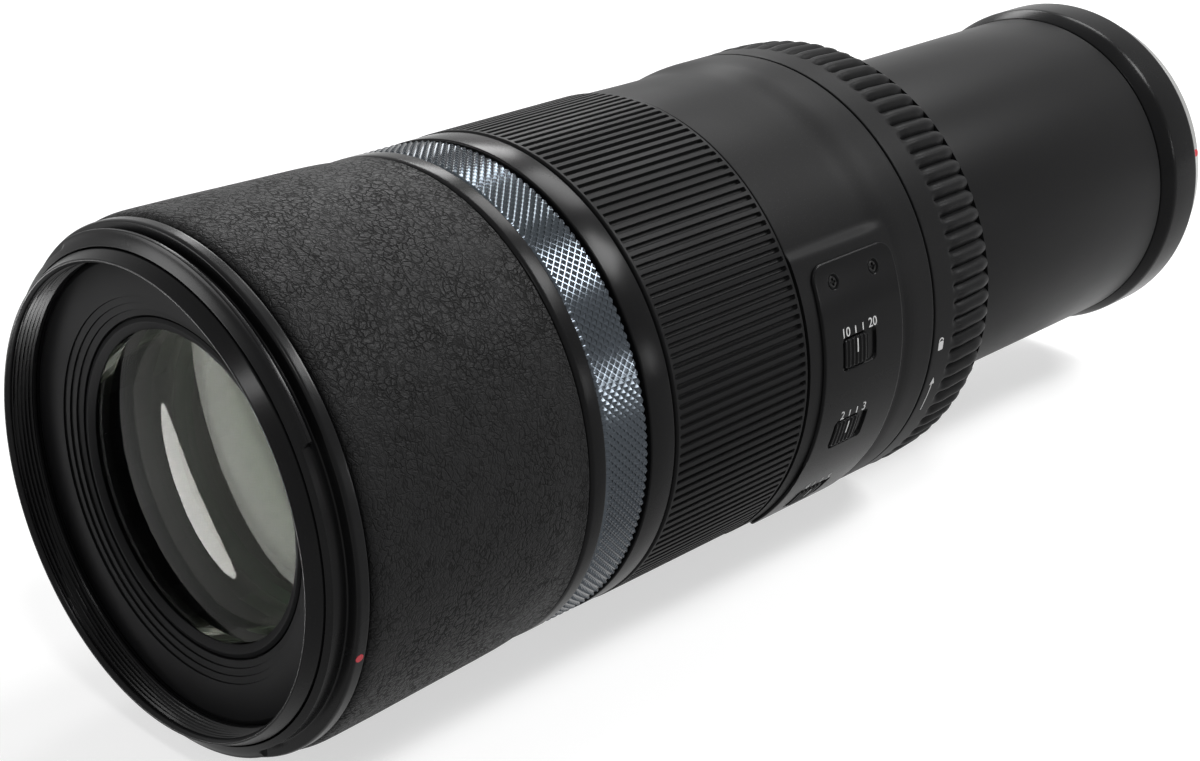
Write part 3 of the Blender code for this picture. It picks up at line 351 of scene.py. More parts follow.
def bumped(tree, height, strength, distance, **more):
    """Normal bent by a height."""
    sources = {"Height": height, "Strength": strength, "Distance": distance, **more}
    return node(tree, "ShaderNodeBump", sources)[0]


def finish(name, colour, dusty, rough, cells=2500.0, bump=0.15, level=0.5, metallic=0.0):
    """Grain bump, smudged roughness and a colour that drifts towards a dusty one."""
    material, tree, shader = new_material(name)
    smudge = use(tree, SMUDGE, {"Least": rough[0], "Greatest": rough[1]})
    grain = use(tree, GRAIN, {"Cells per metre": cells})
    dust = total(tree, smudge["Mask"], grain["Peaks"], "MULTIPLY")
    feed(shader, {
        "Metallic": metallic, "Specular IOR Level": level, "Roughness": smudge["Value"],
        "Base Color": blend(tree, dust, colour, dusty),
        "Normal": bumped(tree, grain["Height"], bump, GRAIN_STEP),
    })
    return material


def metal(name, colour, dusty, rough, cells=1500.0, bump=0.08):
    """Finish of a bare or plated metal."""
    return finish(name, colour, dusty, rough, cells, bump, metallic=1.0)


SATIN = finish("satin_black", (0.006, 0.006, 0.0063), (0.012, 0.012, 0.0125), (0.20, 0.28),
               bump=0.05, level=0.045)
RIM_SATIN = finish("rim_satin", (0.006, 0.006, 0.0063), (0.012, 0.012, 0.0125), (0.22, 0.30),
                   bump=0.05, level=0.08)
DISH_BLACK = finish("dish_black", (0.0034, 0.0034, 0.0036), (0.006, 0.006, 0.0064), (0.42, 0.54),
                    bump=0.05, level=0.018)
TUBE_SATIN = finish("tube_satin", (0.007, 0.007, 0.0073), (0.012, 0.012, 0.0125), (0.33, 0.40),
                    bump=0.08, level=0.04)
SPECKLE = finish("speckled_black", (0.009, 0.009, 0.0093), (0.022, 0.022, 0.0225), (0.38, 0.48),
                 cells=3200.0, bump=0.35, level=0.035)
INNER = finish("inner_black", (0.003, 0.003, 0.0033), (0.006, 0.006, 0.0065), (0.55, 0.70),
               bump=0.03, level=0.03)
RIB_RUBBER = finish("rib_rubber", (0.008, 0.008, 0.0083), (0.016, 0.016, 0.0165), (0.38, 0.48),
                    cells=3600.0, bump=0.25, level=0.045)
GUNMETAL = metal("knurled_gunmetal", (0.048, 0.055, 0.063), (0.079, 0.09, 0.104), (0.13, 0.20),
                 cells=1800.0, bump=0.05)
STEEL = metal("turned_steel", (0.55, 0.55, 0.56), (0.66, 0.66, 0.66), (0.25, 0.38))
BLACK_STEEL = metal("blackened_steel", (0.012, 0.012, 0.012), (0.03, 0.03, 0.03), (0.30, 0.42))
CHROME = metal("satin_chrome", (0.40, 0.40, 0.395), (0.48, 0.48, 0.47), (0.16, 0.26), bump=0.04)
BRASS = metal("turned_brass", (0.62, 0.44, 0.18), (0.74, 0.56, 0.27), (0.26, 0.40))
COPPER = metal("copper", (0.60, 0.28, 0.14), (0.70, 0.38, 0.22), (0.32, 0.45))
GOLD = metal("gilt", (0.78, 0.55, 0.20), (0.86, 0.66, 0.30), (0.18, 0.28), bump=0.04)
BOARD = finish("circuit_board", (0.02, 0.10, 0.05), (0.06, 0.20, 0.10), (0.35, 0.50),
               cells=600.0, bump=0.10)
FELT = finish("felt", (0.006, 0.006, 0.006), (0.02, 0.02, 0.02), (0.85, 0.95),
              cells=5000.0, bump=1.0, level=0.1)
RED_PAINT = finish("red_index", (0.50, 0.015, 0.03), (0.56, 0.04, 0.06), (0.35, 0.45),
                   bump=0.05, level=0.3)
WHITE_INK = finish("white_ink", (0.55, 0.55, 0.55), (0.68, 0.68, 0.68), (0.45, 0.55),
                   cells=3000.0, bump=0.05)
print("finishes", len(bpy.data.materials))

# %% Leather finish


def leather_finish():
    """Charcoal leather: creases are rougher than the polished tops of the cells, and painted darker
    as shade.
    """
    material, tree, shader = new_material("leather_grain")
    leather = use(tree, LEATHER)
    grain = use(tree, GRAIN, {"Cells per metre": 3500.0})
    top = leather["Crease"]
    micro = bumped(tree, grain["Height"], 0.20, GRAIN_STEP)
    feed(shader, {
        "Specular IOR Level": 0.075,
        # Painted shade: the colour is darker in the creases, following the crease mask.
        "Base Color": blend(tree, top, (0.0045, 0.0045, 0.0045), (0.0095, 0.0095, 0.0098)),
        "Roughness": remap(tree, top, To_Min=0.70, To_Max=0.44),
        "Normal": bumped(tree, leather["Height"], 0.90, CREASE_STEP, Normal=micro),
    })
    return material


LEATHER_GRAIN = leather_finish()

# %% Glass finish


def glass_finish(name, tint, clear, bend):
    """Coated glass: a low index for a low, tinted reflection, and faint cleaning marks."""
    material, tree, shader = new_material(name)
    smudge = use(tree, SMUDGE, {"Least": 0.0, "Greatest": 0.02})
    marked = [0.95 * part for part in clear]
    feed(shader, {
        "Transmission Weight": 1.0, "IOR": bend, "Specular Tint": (*tint, 1.0),
        "Roughness": smudge["Value"], "Base Color": blend(tree, smudge["Mask"], marked, clear),
    })
    return material


FRONT_GLASS = glass_finish("front_coated_glass", (0.52, 0.53, 0.30), (0.96, 0.98, 0.94), 1.12)
GREEN_GLASS = glass_finish("green_coated_glass", (0.75, 0.85, 0.50), (0.74, 0.82, 0.66), 1.07)
BLUE_GLASS = glass_finish("blue_coated_glass", (0.30, 0.42, 0.50), (0.30, 0.38, 0.34), 1.16)
print("glass and leather ready")

# %% [markdown]
# ## Finishes on the pieces that stay
# The optics, the guides, the electronics and the tripod foot keep their CAD shape. Each still
# gets a finish of its own, because they show through the glass, the throat or from below.

# %% Pieces that stay
KEPT = {
    INNER: ("main_barrel", "front_barrel", "front_cell", "aperture_stop", "focus_base",
            "focus_ring", "focus_carrier", "guide_sleeve", "steady_base", "steady_frame",
            "steady_carrier", "rear_cell", "rear_baffle"),
    STEEL: ("focus_motor", "guide_rod_1", "guide_rod_2", "magnet_x", "magnet_z", "tripod_socket"),
    RIB_RUBBER: ("tripod_foot",),
    BRASS: ("guide_key_1", "guide_key_2", "lead_screw"),
    COPPER: ("coil_x", "coil_z"),
    BOARD: ("main_board",),
    FELT: ("felt_seal",),
    BLUE_GLASS: ("glass_third", "glass_focus", "glass_steady", "glass_sixth", "glass_rear"),
}
for material, names in KEPT.items():
    for name in names:
        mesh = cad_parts[name].data
        mesh.materials.clear()
        mesh.materials.append(material)
print("kept", sum(len(names) for names in KEPT.values()), "CAD nodes")

# %% [markdown]
# ## Front rim and filter thread
# The rim is a thin turned ring, sloped outside behind a narrow lip. Inside it a fine V thread
# takes filters. It is a triangle wave of the station less the turn, so it is one true helix.

# %% Filter ring
RIM_Y, RIM_REAR, RIM_R = span("filter_ring")
RIM_BORE = RIM_R - 1.9 * MM
THREAD_PITCH = 0.75 * MM
THREAD_DEPTH = 0.42 * MM


def filter_thread(angle, radius, y):
    """Depth of a V thread: a triangle wave of the turns along the axis, faded at both ends."""
    turns = (y - RIM_Y) / THREAD_PITCH - angle / (2 * np.pi)
    wave = 2 * np.abs(turns - np.round(turns))
    faded = step_up(y, RIM_Y + 0.9 * MM, RIM_Y + 1.3 * MM)
    faded = faded * (1 - step_up(y, RIM_REAR - 0.9 * MM, RIM_REAR - 0.5 * MM))
    return (radius < RIM_BORE + 0.02 * MM) * faded * wave * THREAD_DEPTH


rim = rounded([
    (RIM_R - 1.1 * MM, RIM_Y), (RIM_R, RIM_Y + 2.4 * MM), (RIM_R, RIM_REAR), (RIM_BORE, RIM_REAR),
    (RIM_BORE, RIM_Y + 0.7 * MM), (RIM_BORE + 0.5 * MM, RIM_Y),
], mm(0.12, 0.2, 0.1, 0.1, 0.3, 0.12))
turned("filter_rim", densified(rim, 0.11 * MM), "barrel", RIM_SATIN, ["filter_ring"], 240,
       filter_thread)

# %% [markdown]
# ## Hood bayonet
# Behind the sloped rim a cove sweeps out to the ridge that a hood's lugs catch on. The ridge is
# broken where the lugs pass, a deep groove follows, and a bright-edged flange stops the hood.

# %% Hood flange
HOOD_Y, HOOD_REAR, HOOD_R = span("hood_flange")
LUG_CREST = HOOD_R - 1.0 * MM
GROOVE_R = HOOD_R - 2.3 * MM
LUG_ENDS = np.radians([60.0, 240.0])
LUG_OPENING = np.radians(90.0)
LUG_END_SLOPE = 0.006


def hood_breaks(angle, radius, y):
    """Lowers the ridge to the groove floor for a stretch behind each lug end, with steep ends."""
    past = np.mod(angle - LUG_ENDS[:, None, None], 2 * np.pi)
    closes = step_up(past, LUG_OPENING - LUG_END_SLOPE, LUG_OPENING)
    gap = (step_up(past, 0.0, LUG_END_SLOPE) * (1 - closes)).max(axis=0)
    ridge = (y < HOOD_Y + 2.4 * MM) & (radius > GROOVE_R)
    return -gap * ridge * (radius - GROOVE_R)


hood = rounded([
    (RIM_R + FIT, HOOD_Y), (LUG_CREST - 1.2 * MM, HOOD_Y + 0.55 * MM),
    (LUG_CREST - 0.4 * MM, HOOD_Y + 1.05 * MM), (LUG_CREST, HOOD_Y + 1.2 * MM),
    (LUG_CREST, HOOD_Y + 1.9 * MM), (GROOVE_R, HOOD_Y + 2.1 * MM), (GROOVE_R, HOOD_Y + 3.3 * MM),
    (HOOD_R - 0.25 * MM, HOOD_Y + 3.5 * MM), (HOOD_R, HOOD_Y + 3.9 * MM),
    (HOOD_R, HOOD_REAR), (RIM_R + FIT, HOOD_REAR),
], mm(0.1, 0.6, 0.2, 0.12, 0.12, 0.25, 0.25, 0.15, 0.3, 0.25, 0.1))
turned("hood_bayonet", densified(hood, 0.3 * MM), "barrel", RIM_SATIN, ["hood_flange"], 480,
       hood_breaks)

# %% [markdown]
# ## Dished ring, retaining ring and front glass
# A wide dark ring falls from the thread towards the glass. Three fine steps near its inner edge
# trap stray light. The front glass bulges, and a thin coat keeps its reflection low. The group
# behind it is coated less, so that is where the green shine comes from: a tint of reflection.

# %% Front well
DISH_Y, DISH_REAR, DISH_R = span("name_ring")
GLASS_Y, GLASS_REAR, GLASS_R = span("glass_front")
DISH_INNER = GLASS_R + 1.7 * MM
step_r = DISH_INNER + mm(3.6, 3.6, 2.4, 2.4, 1.2, 1.2, 0.0)
step_y = DISH_Y + mm(0.55, 0.95, 1.05, 1.45, 1.55, 1.95, 2.2)
dish = np.concatenate([
    [(DISH_R, DISH_Y + 0.35 * MM), (DISH_R - 0.8 * MM, DISH_Y)],
    np.stack([step_r, step_y], axis=1),
    [(DISH_INNER, DISH_REAR), (DISH_R, DISH_REAR - 1.6 * MM)],
])
turned("dished_ring", rounded(dish, 0.12 * MM, 3), "barrel", DISH_BLACK, ["name_ring"])

KEEP_Y, KEEP_REAR, KEEP_R = span("glass_retainer")
KEEP_BORE = KEEP_R - 2.2 * MM
keeper = rounded([
    (KEEP_R, KEEP_Y + 0.2 * MM), (KEEP_R, KEEP_REAR), (KEEP_BORE, KEEP_REAR),
    (KEEP_BORE, KEEP_REAR - 0.25 * MM), (KEEP_R - 0.8 * MM, KEEP_Y),
], 0.12 * MM)
turned("retaining_ring", keeper, "barrel", DISH_BLACK, ["glass_retainer"])

# %% Front glass and cemented pair
GLASS_RINGS = 24
GLASS_SEGMENTS = 96


def bulged_glass(name, radius, front, rear, front_bow, rear_bow, node_name, material):
    """Lens: two faces whose station falls off as bow times (r over R) squared, and an edge."""
    share = np.sin(np.linspace(0.0, np.pi / 2, GLASS_RINGS))[1:]
    face = np.stack([radius * share, front + front_bow * share ** 2], axis=1)
    back = np.stack([radius * share, rear - rear_bow * share ** 2], axis=1)
    outline = np.concatenate([face, back[::-1]])
    angle = np.linspace(0.0, 2 * np.pi, GLASS_SEGMENTS, endpoint=False)[:, None]
    rings = around(outline[None, :, 0], angle, outline[None, :, 1]).reshape(-1, 3)
    poles = around(np.zeros(2), np.zeros(2), np.array([front, rear]))
    column = np.arange(GLASS_SEGMENTS) * len(outline)
    nearby = np.roll(column, -1)
    last = len(outline) - 1
    cap = np.stack([np.full(GLASS_SEGMENTS, len(rings)), nearby, column], axis=1)
    tail = np.stack([np.full(GLASS_SEGMENTS, len(rings) + 1), column, nearby], axis=1)
    tail[:, 1:] += last
    sides = grid_quads(GLASS_SEGMENTS, len(outline), True, False)
    faces = sides.tolist() + cap.tolist() + tail.tolist()
    mesh = bpy.data.meshes.new(name)
    mesh.from_pydata(np.concatenate([rings, poles]).tolist(), [], faces)
    mesh.validate()
    mesh.shade_smooth()
    mesh.set_sharp_from_angle(angle=math.radians(35.0))
    mesh.materials.append(material)
    obj = link(bpy.data.objects.new(name, mesh))
    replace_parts(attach(obj, "barrel"), node_name)
    print(name, len(mesh.polygons), "faces")


bulged_glass("front_glass", GLASS_R, GLASS_Y, GLASS_REAR - 1.0 * MM, 3.4 * MM, -1.0 * MM,
             "glass_front", FRONT_GLASS)
PAIR_Y, PAIR_REAR, PAIR_R = span("glass_doublet")
bulged_glass("cemented_pair", PAIR_R, PAIR_Y, PAIR_REAR, 2.0 * MM, 0.8 * MM,
             "glass_doublet", GREEN_GLASS)

# %% [markdown]
# ## Leather grip and its lip
# The grip is stretched leather: a rounded shoulder at the front, a long gentle taper, a soft dip
# near the rear and a thin lip. The outline is a smooth curve through a few measured radii.

# %% Grip
GRIP_Y, GRIP_REAR, GRIP_R = span("leather_sleeve")
GRIP_BORE = GRIP_R - 2.2 * MM
SHOULDER = 3.0 * MM
along = mm(0.0, 0.25, 0.9, 1.9, 3.3, 8.3, 13.3, 19.3,
           24.3, 30.3, 36.3, 41.0, 43.2, 45.2, 46.6, 47.4)
swell = GRIP_R - mm(1.1, 0.62, 0.25, 0.06, 0.0, 0.1, 0.2, 0.4,
                    0.55, 0.72, 0.88, 1.08, 1.3, 1.5, 1.45, 1.35)
fine_along = np.concatenate([np.linspace(0.0, SHOULDER, 16),
                             np.linspace(SHOULDER, along[-1], 64)[1:]])
fine_swell = np.interp(fine_along, along, swell)
smooth_swell = np.convolve(np.pad(fine_swell, 2, mode="edge"), np.ones(5) / 5, mode="valid")
smooth_swell[:6] = fine_swell[:6]
grip_outline = np.concatenate([
    np.stack([smooth_swell, GRIP_Y + fine_along], axis=1),
    [(GRIP_BORE, GRIP_REAR), (GRIP_BORE, GRIP_Y)],
])
turned("leather_grip", grip_outline, "barrel", LEATHER_GRAIN, ["leather_sleeve"], 240, sharp=60.0)

LIP_Y, LIP_REAR, LIP_R = span("grip_lip")
lip = rounded([
    (LIP_R - 0.25 * MM, LIP_Y), (LIP_R, LIP_Y + 0.8 * MM), (LIP_R, LIP_REAR),
    (GRIP_BORE, LIP_REAR), (GRIP_BORE, LIP_Y),
], 0.3 * MM)
turned("grip_edge", lip, "barrel", SATIN, ["grip_lip"])

# %% [markdown]
# ## Knurled control ring
# A knurling tool rolls two sets of crossing grooves into the ring, which leaves small pyramids.
# The height is the smaller of two triangle waves that run along the two diagonals.

# %% Control ring
CONTROL_Y, CONTROL_REAR, CONTROL_R = span("control_ring")
KNURLS = 175
KNURL_DEPTH = 0.5 * MM
KNURL_FLAT = 0.06
KNURL_STEPS = 8
KNURL_PITCH = 2 * np.pi * CONTROL_R / KNURLS
CONTROL_BORE = CONTROL_R - 2.6 * MM


def knurl(angle, radius, y):
    """Pyramids: the smaller of two triangle waves along the diagonals, flat between them."""
    turn = angle * KNURLS / (2 * np.pi)
    station = (y - (CONTROL_Y + CONTROL_REAR) / 2) / KNURL_PITCH
    first, second = turn + station, turn - station
    wave = 2 * np.minimum(np.abs(first - np.round(first)), np.abs(second - np.round(second)))
    height = np.clip((wave - KNURL_FLAT) / (1 - KNURL_FLAT), 0.0, 1.0)
    edge = step_up(y, CONTROL_Y + 0.25 * MM, CONTROL_Y + 0.5 * MM)
    edge = edge * (1 - step_up(y, CONTROL_REAR - 0.5 * MM, CONTROL_REAR - 0.25 * MM))
    outside = radius > CONTROL_R - 0.7 * MM
    return outside * edge * height * KNURL_DEPTH


knurl_r = CONTROL_R - KNURL_DEPTH
reach = int((CONTROL_REAR - CONTROL_Y - 0.5 * MM) / 2 / (KNURL_PITCH / KNURL_STEPS))
stations = np.arange(-reach, reach + 1) * KNURL_PITCH / KNURL_STEPS
stations = (CONTROL_Y + CONTROL_REAR) / 2 + stations
control = np.concatenate([
    [(knurl_r - 0.2 * MM, CONTROL_Y)],
    np.stack([np.full(len(stations), knurl_r), stations], axis=1),
    [(knurl_r - 0.2 * MM, CONTROL_REAR), (CONTROL_BORE, CONTROL_REAR), (CONTROL_BORE, CONTROL_Y)],
])
turned("knurled_ring", control, "control_ring", GUNMETAL, ["control_ring"], KNURL_STEPS * KNURLS,
       knurl, sharp=18.0)

# %% Plain band
BAND_Y, BAND_REAR, BAND_R = span("plain_band")
BAND_BORE = BAND_R - 2.6 * MM
band = rounded([
    (BAND_R, BAND_Y), (BAND_R, BAND_REAR), (BAND_BORE, BAND_REAR), (BAND_BORE, BAND_Y),
], mm(0.35, 0.35, 0.1, 0.1))
turned("smooth_band", band, "barrel", SATIN, ["plain_band"])

# %% [markdown]
# ## Focus ring
# Moulded rubber with 158 flat ribs. Each groove is a slot with round ends, so its depth depends
# on the distance to the slot's centre line, which is short at both margins.

# %% Focus grip
FOCUS_Y, FOCUS_REAR, FOCUS_R = span("focus_grip")
FOCUS_RIBS = 158
FOCUS_BORE = FOCUS_R - 1.45 * MM
SLOT_HALF = 0.42 * MM
SLOT_DEPTH = 0.75 * MM
FOCUS_MARGIN = 0.8 * MM


def focus_slots(angle, radius, y):
    """Depth of the nearest slot: full inside its half width, nothing outside, smooth between."""
    turn = angle * FOCUS_RIBS / (2 * np.pi)
    across = np.abs(turn - np.round(turn)) * 2 * np.pi * FOCUS_R / FOCUS_RIBS
    middle = (FOCUS_Y + FOCUS_REAR) / 2
    reach = (FOCUS_REAR - FOCUS_Y) / 2 - FOCUS_MARGIN - SLOT_HALF
    beyond = np.maximum(np.abs(y - middle) - reach, 0.0)
    depth = 1 - step_up(np.hypot(across, beyond), SLOT_HALF - 0.12 * MM, SLOT_HALF + 0.08 * MM)
    return (radius > FOCUS_R - 0.3 * MM) * depth * -SLOT_DEPTH


ends = np.linspace(0.0, 1.8 * MM, 16)
stations = np.concatenate([FOCUS_Y + 0.3 * MM + ends,
                           np.linspace(FOCUS_Y + 4.0 * MM, FOCUS_REAR - 4.0 * MM, 8),
                           (FOCUS_REAR - 0.3 * MM - ends)[::-1]])
focus = np.concatenate([
    [(FOCUS_R - 0.35 * MM, FOCUS_Y)],
    np.stack([np.full(len(stations), FOCUS_R), stations], axis=1),
    [(FOCUS_R - 0.35 * MM, FOCUS_REAR), (FOCUS_BORE, FOCUS_REAR), (FOCUS_BORE, FOCUS_Y)],
])
share = np.array([-0.5, -0.31, -0.275, -0.235, -0.19, -0.15, 0.15, 0.19, 0.235, 0.275, 0.31])
rib_angles = (2 * np.pi / FOCUS_RIBS * (np.arange(FOCUS_RIBS)[:, None] + share)).ravel()
turned("ribbed_focus_grip", focus, "focus_ring", RIB_RUBBER, ["focus_grip"], rib_angles,
       focus_slots, sharp=60.0)

# %% [markdown]
# ## Rear body
# The rear body has a slight waist and a raised band behind it. On the right side it swells into
# a soft platform that carries the switch panel, so its radius is raised to the platform's radius
# inside a window of angle and station with soft borders.

# %% Body
BODY_Y, BODY_REAR, BODY_R = span("rear_body")
PANEL_Y, PANEL_REAR, _ = span("switch_panel")
PANEL_R = 46.05 * MM
PLATFORM_R = PANEL_R - 0.85 * MM
PANEL_ANGLE = math.radians(103.0)
PANEL_HALF_ARC = 31.8 * MM
WAIST_R = BODY_R - 1.05 * MM
BODY_BORE = BODY_R - 3.2 * MM


def platform(angle, radius, y):
    """Rise to the platform inside its window, with soft borders."""
    away = np.abs(np.mod(angle - PANEL_ANGLE + np.pi, 2 * np.pi) - np.pi) * PANEL_R
    window = 1 - step_up(away, PANEL_HALF_ARC + 2.0 * MM, PANEL_HALF_ARC + 4.2 * MM)
    window = window * (1 - step_up(y, PANEL_REAR + 2.4 * MM, PANEL_REAR + 4.8 * MM))
    return (radius > BODY_R - 1.6 * MM) * window * np.maximum(PLATFORM_R + 0.25 * MM - radius, 0.0)


body = rounded([
    (BODY_R - 0.8 * MM, BODY_Y), (WAIST_R, BODY_Y + 15.0 * MM), (WAIST_R, PANEL_REAR - 3.6 * MM),
    (BODY_R, PANEL_REAR + 2.6 * MM), (BODY_R, BODY_REAR),
    (BODY_BORE, BODY_REAR), (BODY_BORE, BODY_Y),
], mm(0.35, 5.0, 2.2, 2.2, 0.35, 0.1, 0.1))
turned("speckled_body", densified(body, 0.5 * MM), "barrel", SPECKLE, ["rear_body"], 420, platform)

# %% [markdown]
# ## Pads wrapped on the barrel
# The switch panel, the switches, the screws and the printed marks are all thin pads. A pad is a
# square grid whose corners are pulled into quarter discs, given a height, a floor and side walls,
# and then laid on whatever surface a placing function names. A pad that is all corner is a disc.

# %% Pad builder


def pad(name, halves, corner, counts, height, floor, place, body, material, replaced=(),
        sharp=40.0):
    """Closed pad: height(p, q, inset) on top, a flat floor below, walls between them."""
    sides = [np.linspace(-half, half, count) for half, count in zip(halves, counts)]
    p, q = np.meshgrid(*sides, indexing="ij")
    over_p = np.maximum(np.abs(p) - (halves[0] - corner), 0.0)
    over_q = np.maximum(np.abs(q) - (halves[1] - corner), 0.0)
    reach = np.hypot(over_p, over_q)
    pull = np.where(reach > 0, np.maximum(over_p, over_q) / np.maximum(reach, 1e-12), 1.0)
    p = np.sign(p) * (np.abs(p) - over_p * (1 - pull))
    q = np.sign(q) * (np.abs(q) - over_q * (1 - pull))
    side_p, side_q = np.abs(p) - (halves[0] - corner), np.abs(q) - (halves[1] - corner)
    inset = corner - np.hypot(np.maximum(side_p, 0), np.maximum(side_q, 0))
    inset = inset - np.minimum(np.maximum(side_p, side_q), 0)
    top = place(p, q, height(p, q, inset)).reshape(-1, 3)
    points = np.concatenate([top, place(p, q, np.full(p.shape, floor)).reshape(-1, 3)])
    below = len(top)
    index = np.arange(below).reshape(counts)
    loop = np.concatenate([index[0, :-1], index[:-1, -1], index[-1, :0:-1], index[:0:-1, 0]])
    after = np.roll(loop, -1)
    upper = grid_quads(counts[0], counts[1], False, False)
    walls = np.stack([loop, after, after + below, loop + below], axis=1)
    quads = np.concatenate([upper, upper[:, ::-1] + below, walls])
    origin, east, north, above = place(mm(0, 1, 0, 0), mm(0, 0, 1, 0), mm(0, 0, 0, 1))
    facing = np.dot(np.cross(east - origin, north - origin), above - origin)
    quads = quads if facing > 0 else quads[:, ::-1]
    add_piece(name, points, quads, body, material, replaced, sharp)


def on_barrel(radius, angle, y):
    """Placing function: p runs along the axis, q round it, height outwards from a radius."""
    return lambda p, q, h: around(radius + h, angle + q / radius, y + p)


def on_plane(centre, right, up):
    """Placing function on a plane: p along right, q along up, height along their cross product."""
    centre, right, up = (np.asarray(v, dtype=float) for v in (centre, right, up))
    normal = np.cross(right, up)
    return lambda p, q, h: centre + p[..., None] * right + q[..., None] * up + h[..., None] * normal


def flat(height):
    """Height of a level top."""
    return lambda p, q, inset: np.full(p.shape, height)


def soft_edge(inset, width, drop):
    """Quarter-round fall over the last stretch before a pad's border."""
    t = np.clip(1 - inset / width, 0.0, 1.0)
    return drop * (1 - np.sqrt(np.maximum(1 - t * t, 0.0)))


# %% [markdown]
# ## Switch panel
# A thin plate with rounded corners, three slots and two screw recesses. The slots and recesses are
# steps in the height of one dense grid, which keeps the plate a single closed surface.

# %% Panel
PANEL_MID = (PANEL_Y + PANEL_REAR) / 2
PANEL_HALF = (PANEL_REAR - PANEL_Y) / 2
KNOBS = {"range_switch": math.radians(86.0), "focus_mode_switch": math.radians(107.3),
         "steady_switch": math.radians(131.0)}
PANEL_BEND = math.radians(116.0)
BEND_RISE = 0.40 * MM
BEND_REACH = mm(3.4, 6.3)
PANEL_SEAM_Y = PANEL_Y - 0.2 * MM
SLOT_HALVES = mm(4.9, 3.2)
SLOT_SINK = 0.52 * MM
RECESS_SINK = 0.45 * MM
SLOT_MID = PANEL_SEAM_Y + 5.6 * MM + SLOT_HALVES[0] - PANEL_MID
SCREWS = [(PANEL_SEAM_Y + back * MM - PANEL_MID, math.radians(68.4)) for back in (5.5, 17.3)]


def panel_height(p, q, inset):
    """Plate top with its low bend, less its border, its three slots and its two recesses."""
    past = q - (PANEL_BEND - PANEL_ANGLE) * PANEL_R
    roof = np.maximum(1 - np.abs(past) / np.where(past < 0, *BEND_REACH), 0.0)
    height = BEND_RISE * roof - soft_edge(inset, 0.5 * MM, 0.35 * MM)
    for angle in KNOBS.values():
        middle = (angle - PANEL_ANGLE) * PANEL_R
        out_p = np.maximum(np.abs(p - SLOT_MID) - (SLOT_HALVES[0] - 1.0 * MM), 0.0)
        out_q = np.maximum(np.abs(q - middle) - (SLOT_HALVES[1] - 1.0 * MM), 0.0)
        inside = 1 - step_up(np.hypot(out_p, out_q), 0.90 * MM, 1.08 * MM)
        height = np.minimum(height, -SLOT_SINK * inside)
    for station, angle in SCREWS:
        away = np.hypot(p - station, q - (angle - PANEL_ANGLE) * PANEL_R)
        height = np.minimum(height, -RECESS_SINK * (1 - step_up(away, 1.30 * MM, 1.48 * MM)))
    return height


pad("side_panel", (PANEL_HALF, PANEL_HALF_ARC), 3.4 * MM, (150, 400), panel_height, -0.56 * MM,
    on_barrel(PANEL_R, PANEL_ANGLE, PANEL_MID), "barrel", SATIN, ["switch_panel"], 50.0)

# %% [markdown]
# ## Sliding switches and panel screws
# Each slider is a small ridged block. Its ridges run round the barrel so that a thumb can push
# it along, and a white line on its middle ridge points at the index marks on the panel.

# %% Switches
RIDGE_PITCH = 1.15 * MM
RIDGE_DEPTH = 0.22 * MM
KNOB_R = PANEL_R + 0.35 * MM
LINE_OFFSET = 1.15 * MM


def ridged(p, q, inset):
    """Slider top: soft ridges across the push, a cosine of p, and a rounded border."""
    wave = 0.5 + 0.5 * np.cos(2 * np.pi * np.abs(p) / RIDGE_PITCH)
    return -RIDGE_DEPTH * (1 - wave) - soft_edge(inset, 0.55 * MM, 0.40 * MM)


for name, angle in KNOBS.items():
    knob_y, knob_rear, _ = span(name)
    middle = (knob_y + knob_rear) / 2
    half = (knob_rear - knob_y) / 2
    pad(name + "_slider", (half, 2.9 * MM), 0.8 * MM, (72, 40), ridged, -0.86 * MM,
        on_barrel(KNOB_R, angle, middle), name, SATIN, [name], 50.0)
    pad(name + "_line", mm(0.15, 1.35), 0.05 * MM, (4, 12), flat(0.02 * MM), -0.15 * MM,
        on_barrel(KNOB_R, angle - LINE_OFFSET / PANEL_R, middle), name, WHITE_INK)


def cross_head(radius, recess):
    """Height of a screw head: a soft border and a cross sunk into the middle."""
    def arm(across, along):
        inside = 1 - step_up(np.abs(across), 0.16 * radius, 0.26 * radius)
        return inside * (1 - step_up(np.abs(along), 0.55 * radius, 0.72 * radius))

    def height(p, q, inset):
        cross = recess * np.maximum(arm(p, q), arm(q, p))
        return -cross - soft_edge(inset, 0.3 * radius, 0.12 * radius)
    return height


def screw_head(name, radius, count, recess, floor, place, body, material, replaced):
    """Round pad with a cross, in place of a screw."""
    pad(name, (radius, radius), radius, (count, count), cross_head(radius, recess), floor, place,
        body, material, [replaced])


for number, (station, angle) in enumerate(SCREWS, 1):
    place = on_barrel(PANEL_R - 0.12 * MM, angle, PANEL_MID + station)
    screw_head("panel_screw_head_%d" % number, 1.1 * MM, 25, 0.35 * MM, -0.5 * MM, place,
               "barrel", BLACK_STEEL, "panel_screw_%d" % number)

# %% [markdown]
# ## Printed marks
# Plain numbers and ticks stand at the switches, and the lock ring has a padlock and an arrow
# that points at it. Marks are thin pads or flat numerals bent round the barrel, so none floats.

# %% Marks
INK_HEIGHT = 0.03 * MM
INK_FLOOR = -0.1 * MM
INK = flat(INK_HEIGHT)


def mark(name, radius, angle, y, halves, corner, material, body, counts=(6, 6)):
    """Thin printed pad on the barrel."""
    pad(name, halves, corner, counts, INK, INK_FLOOR, on_barrel(radius, angle, y), body, material)


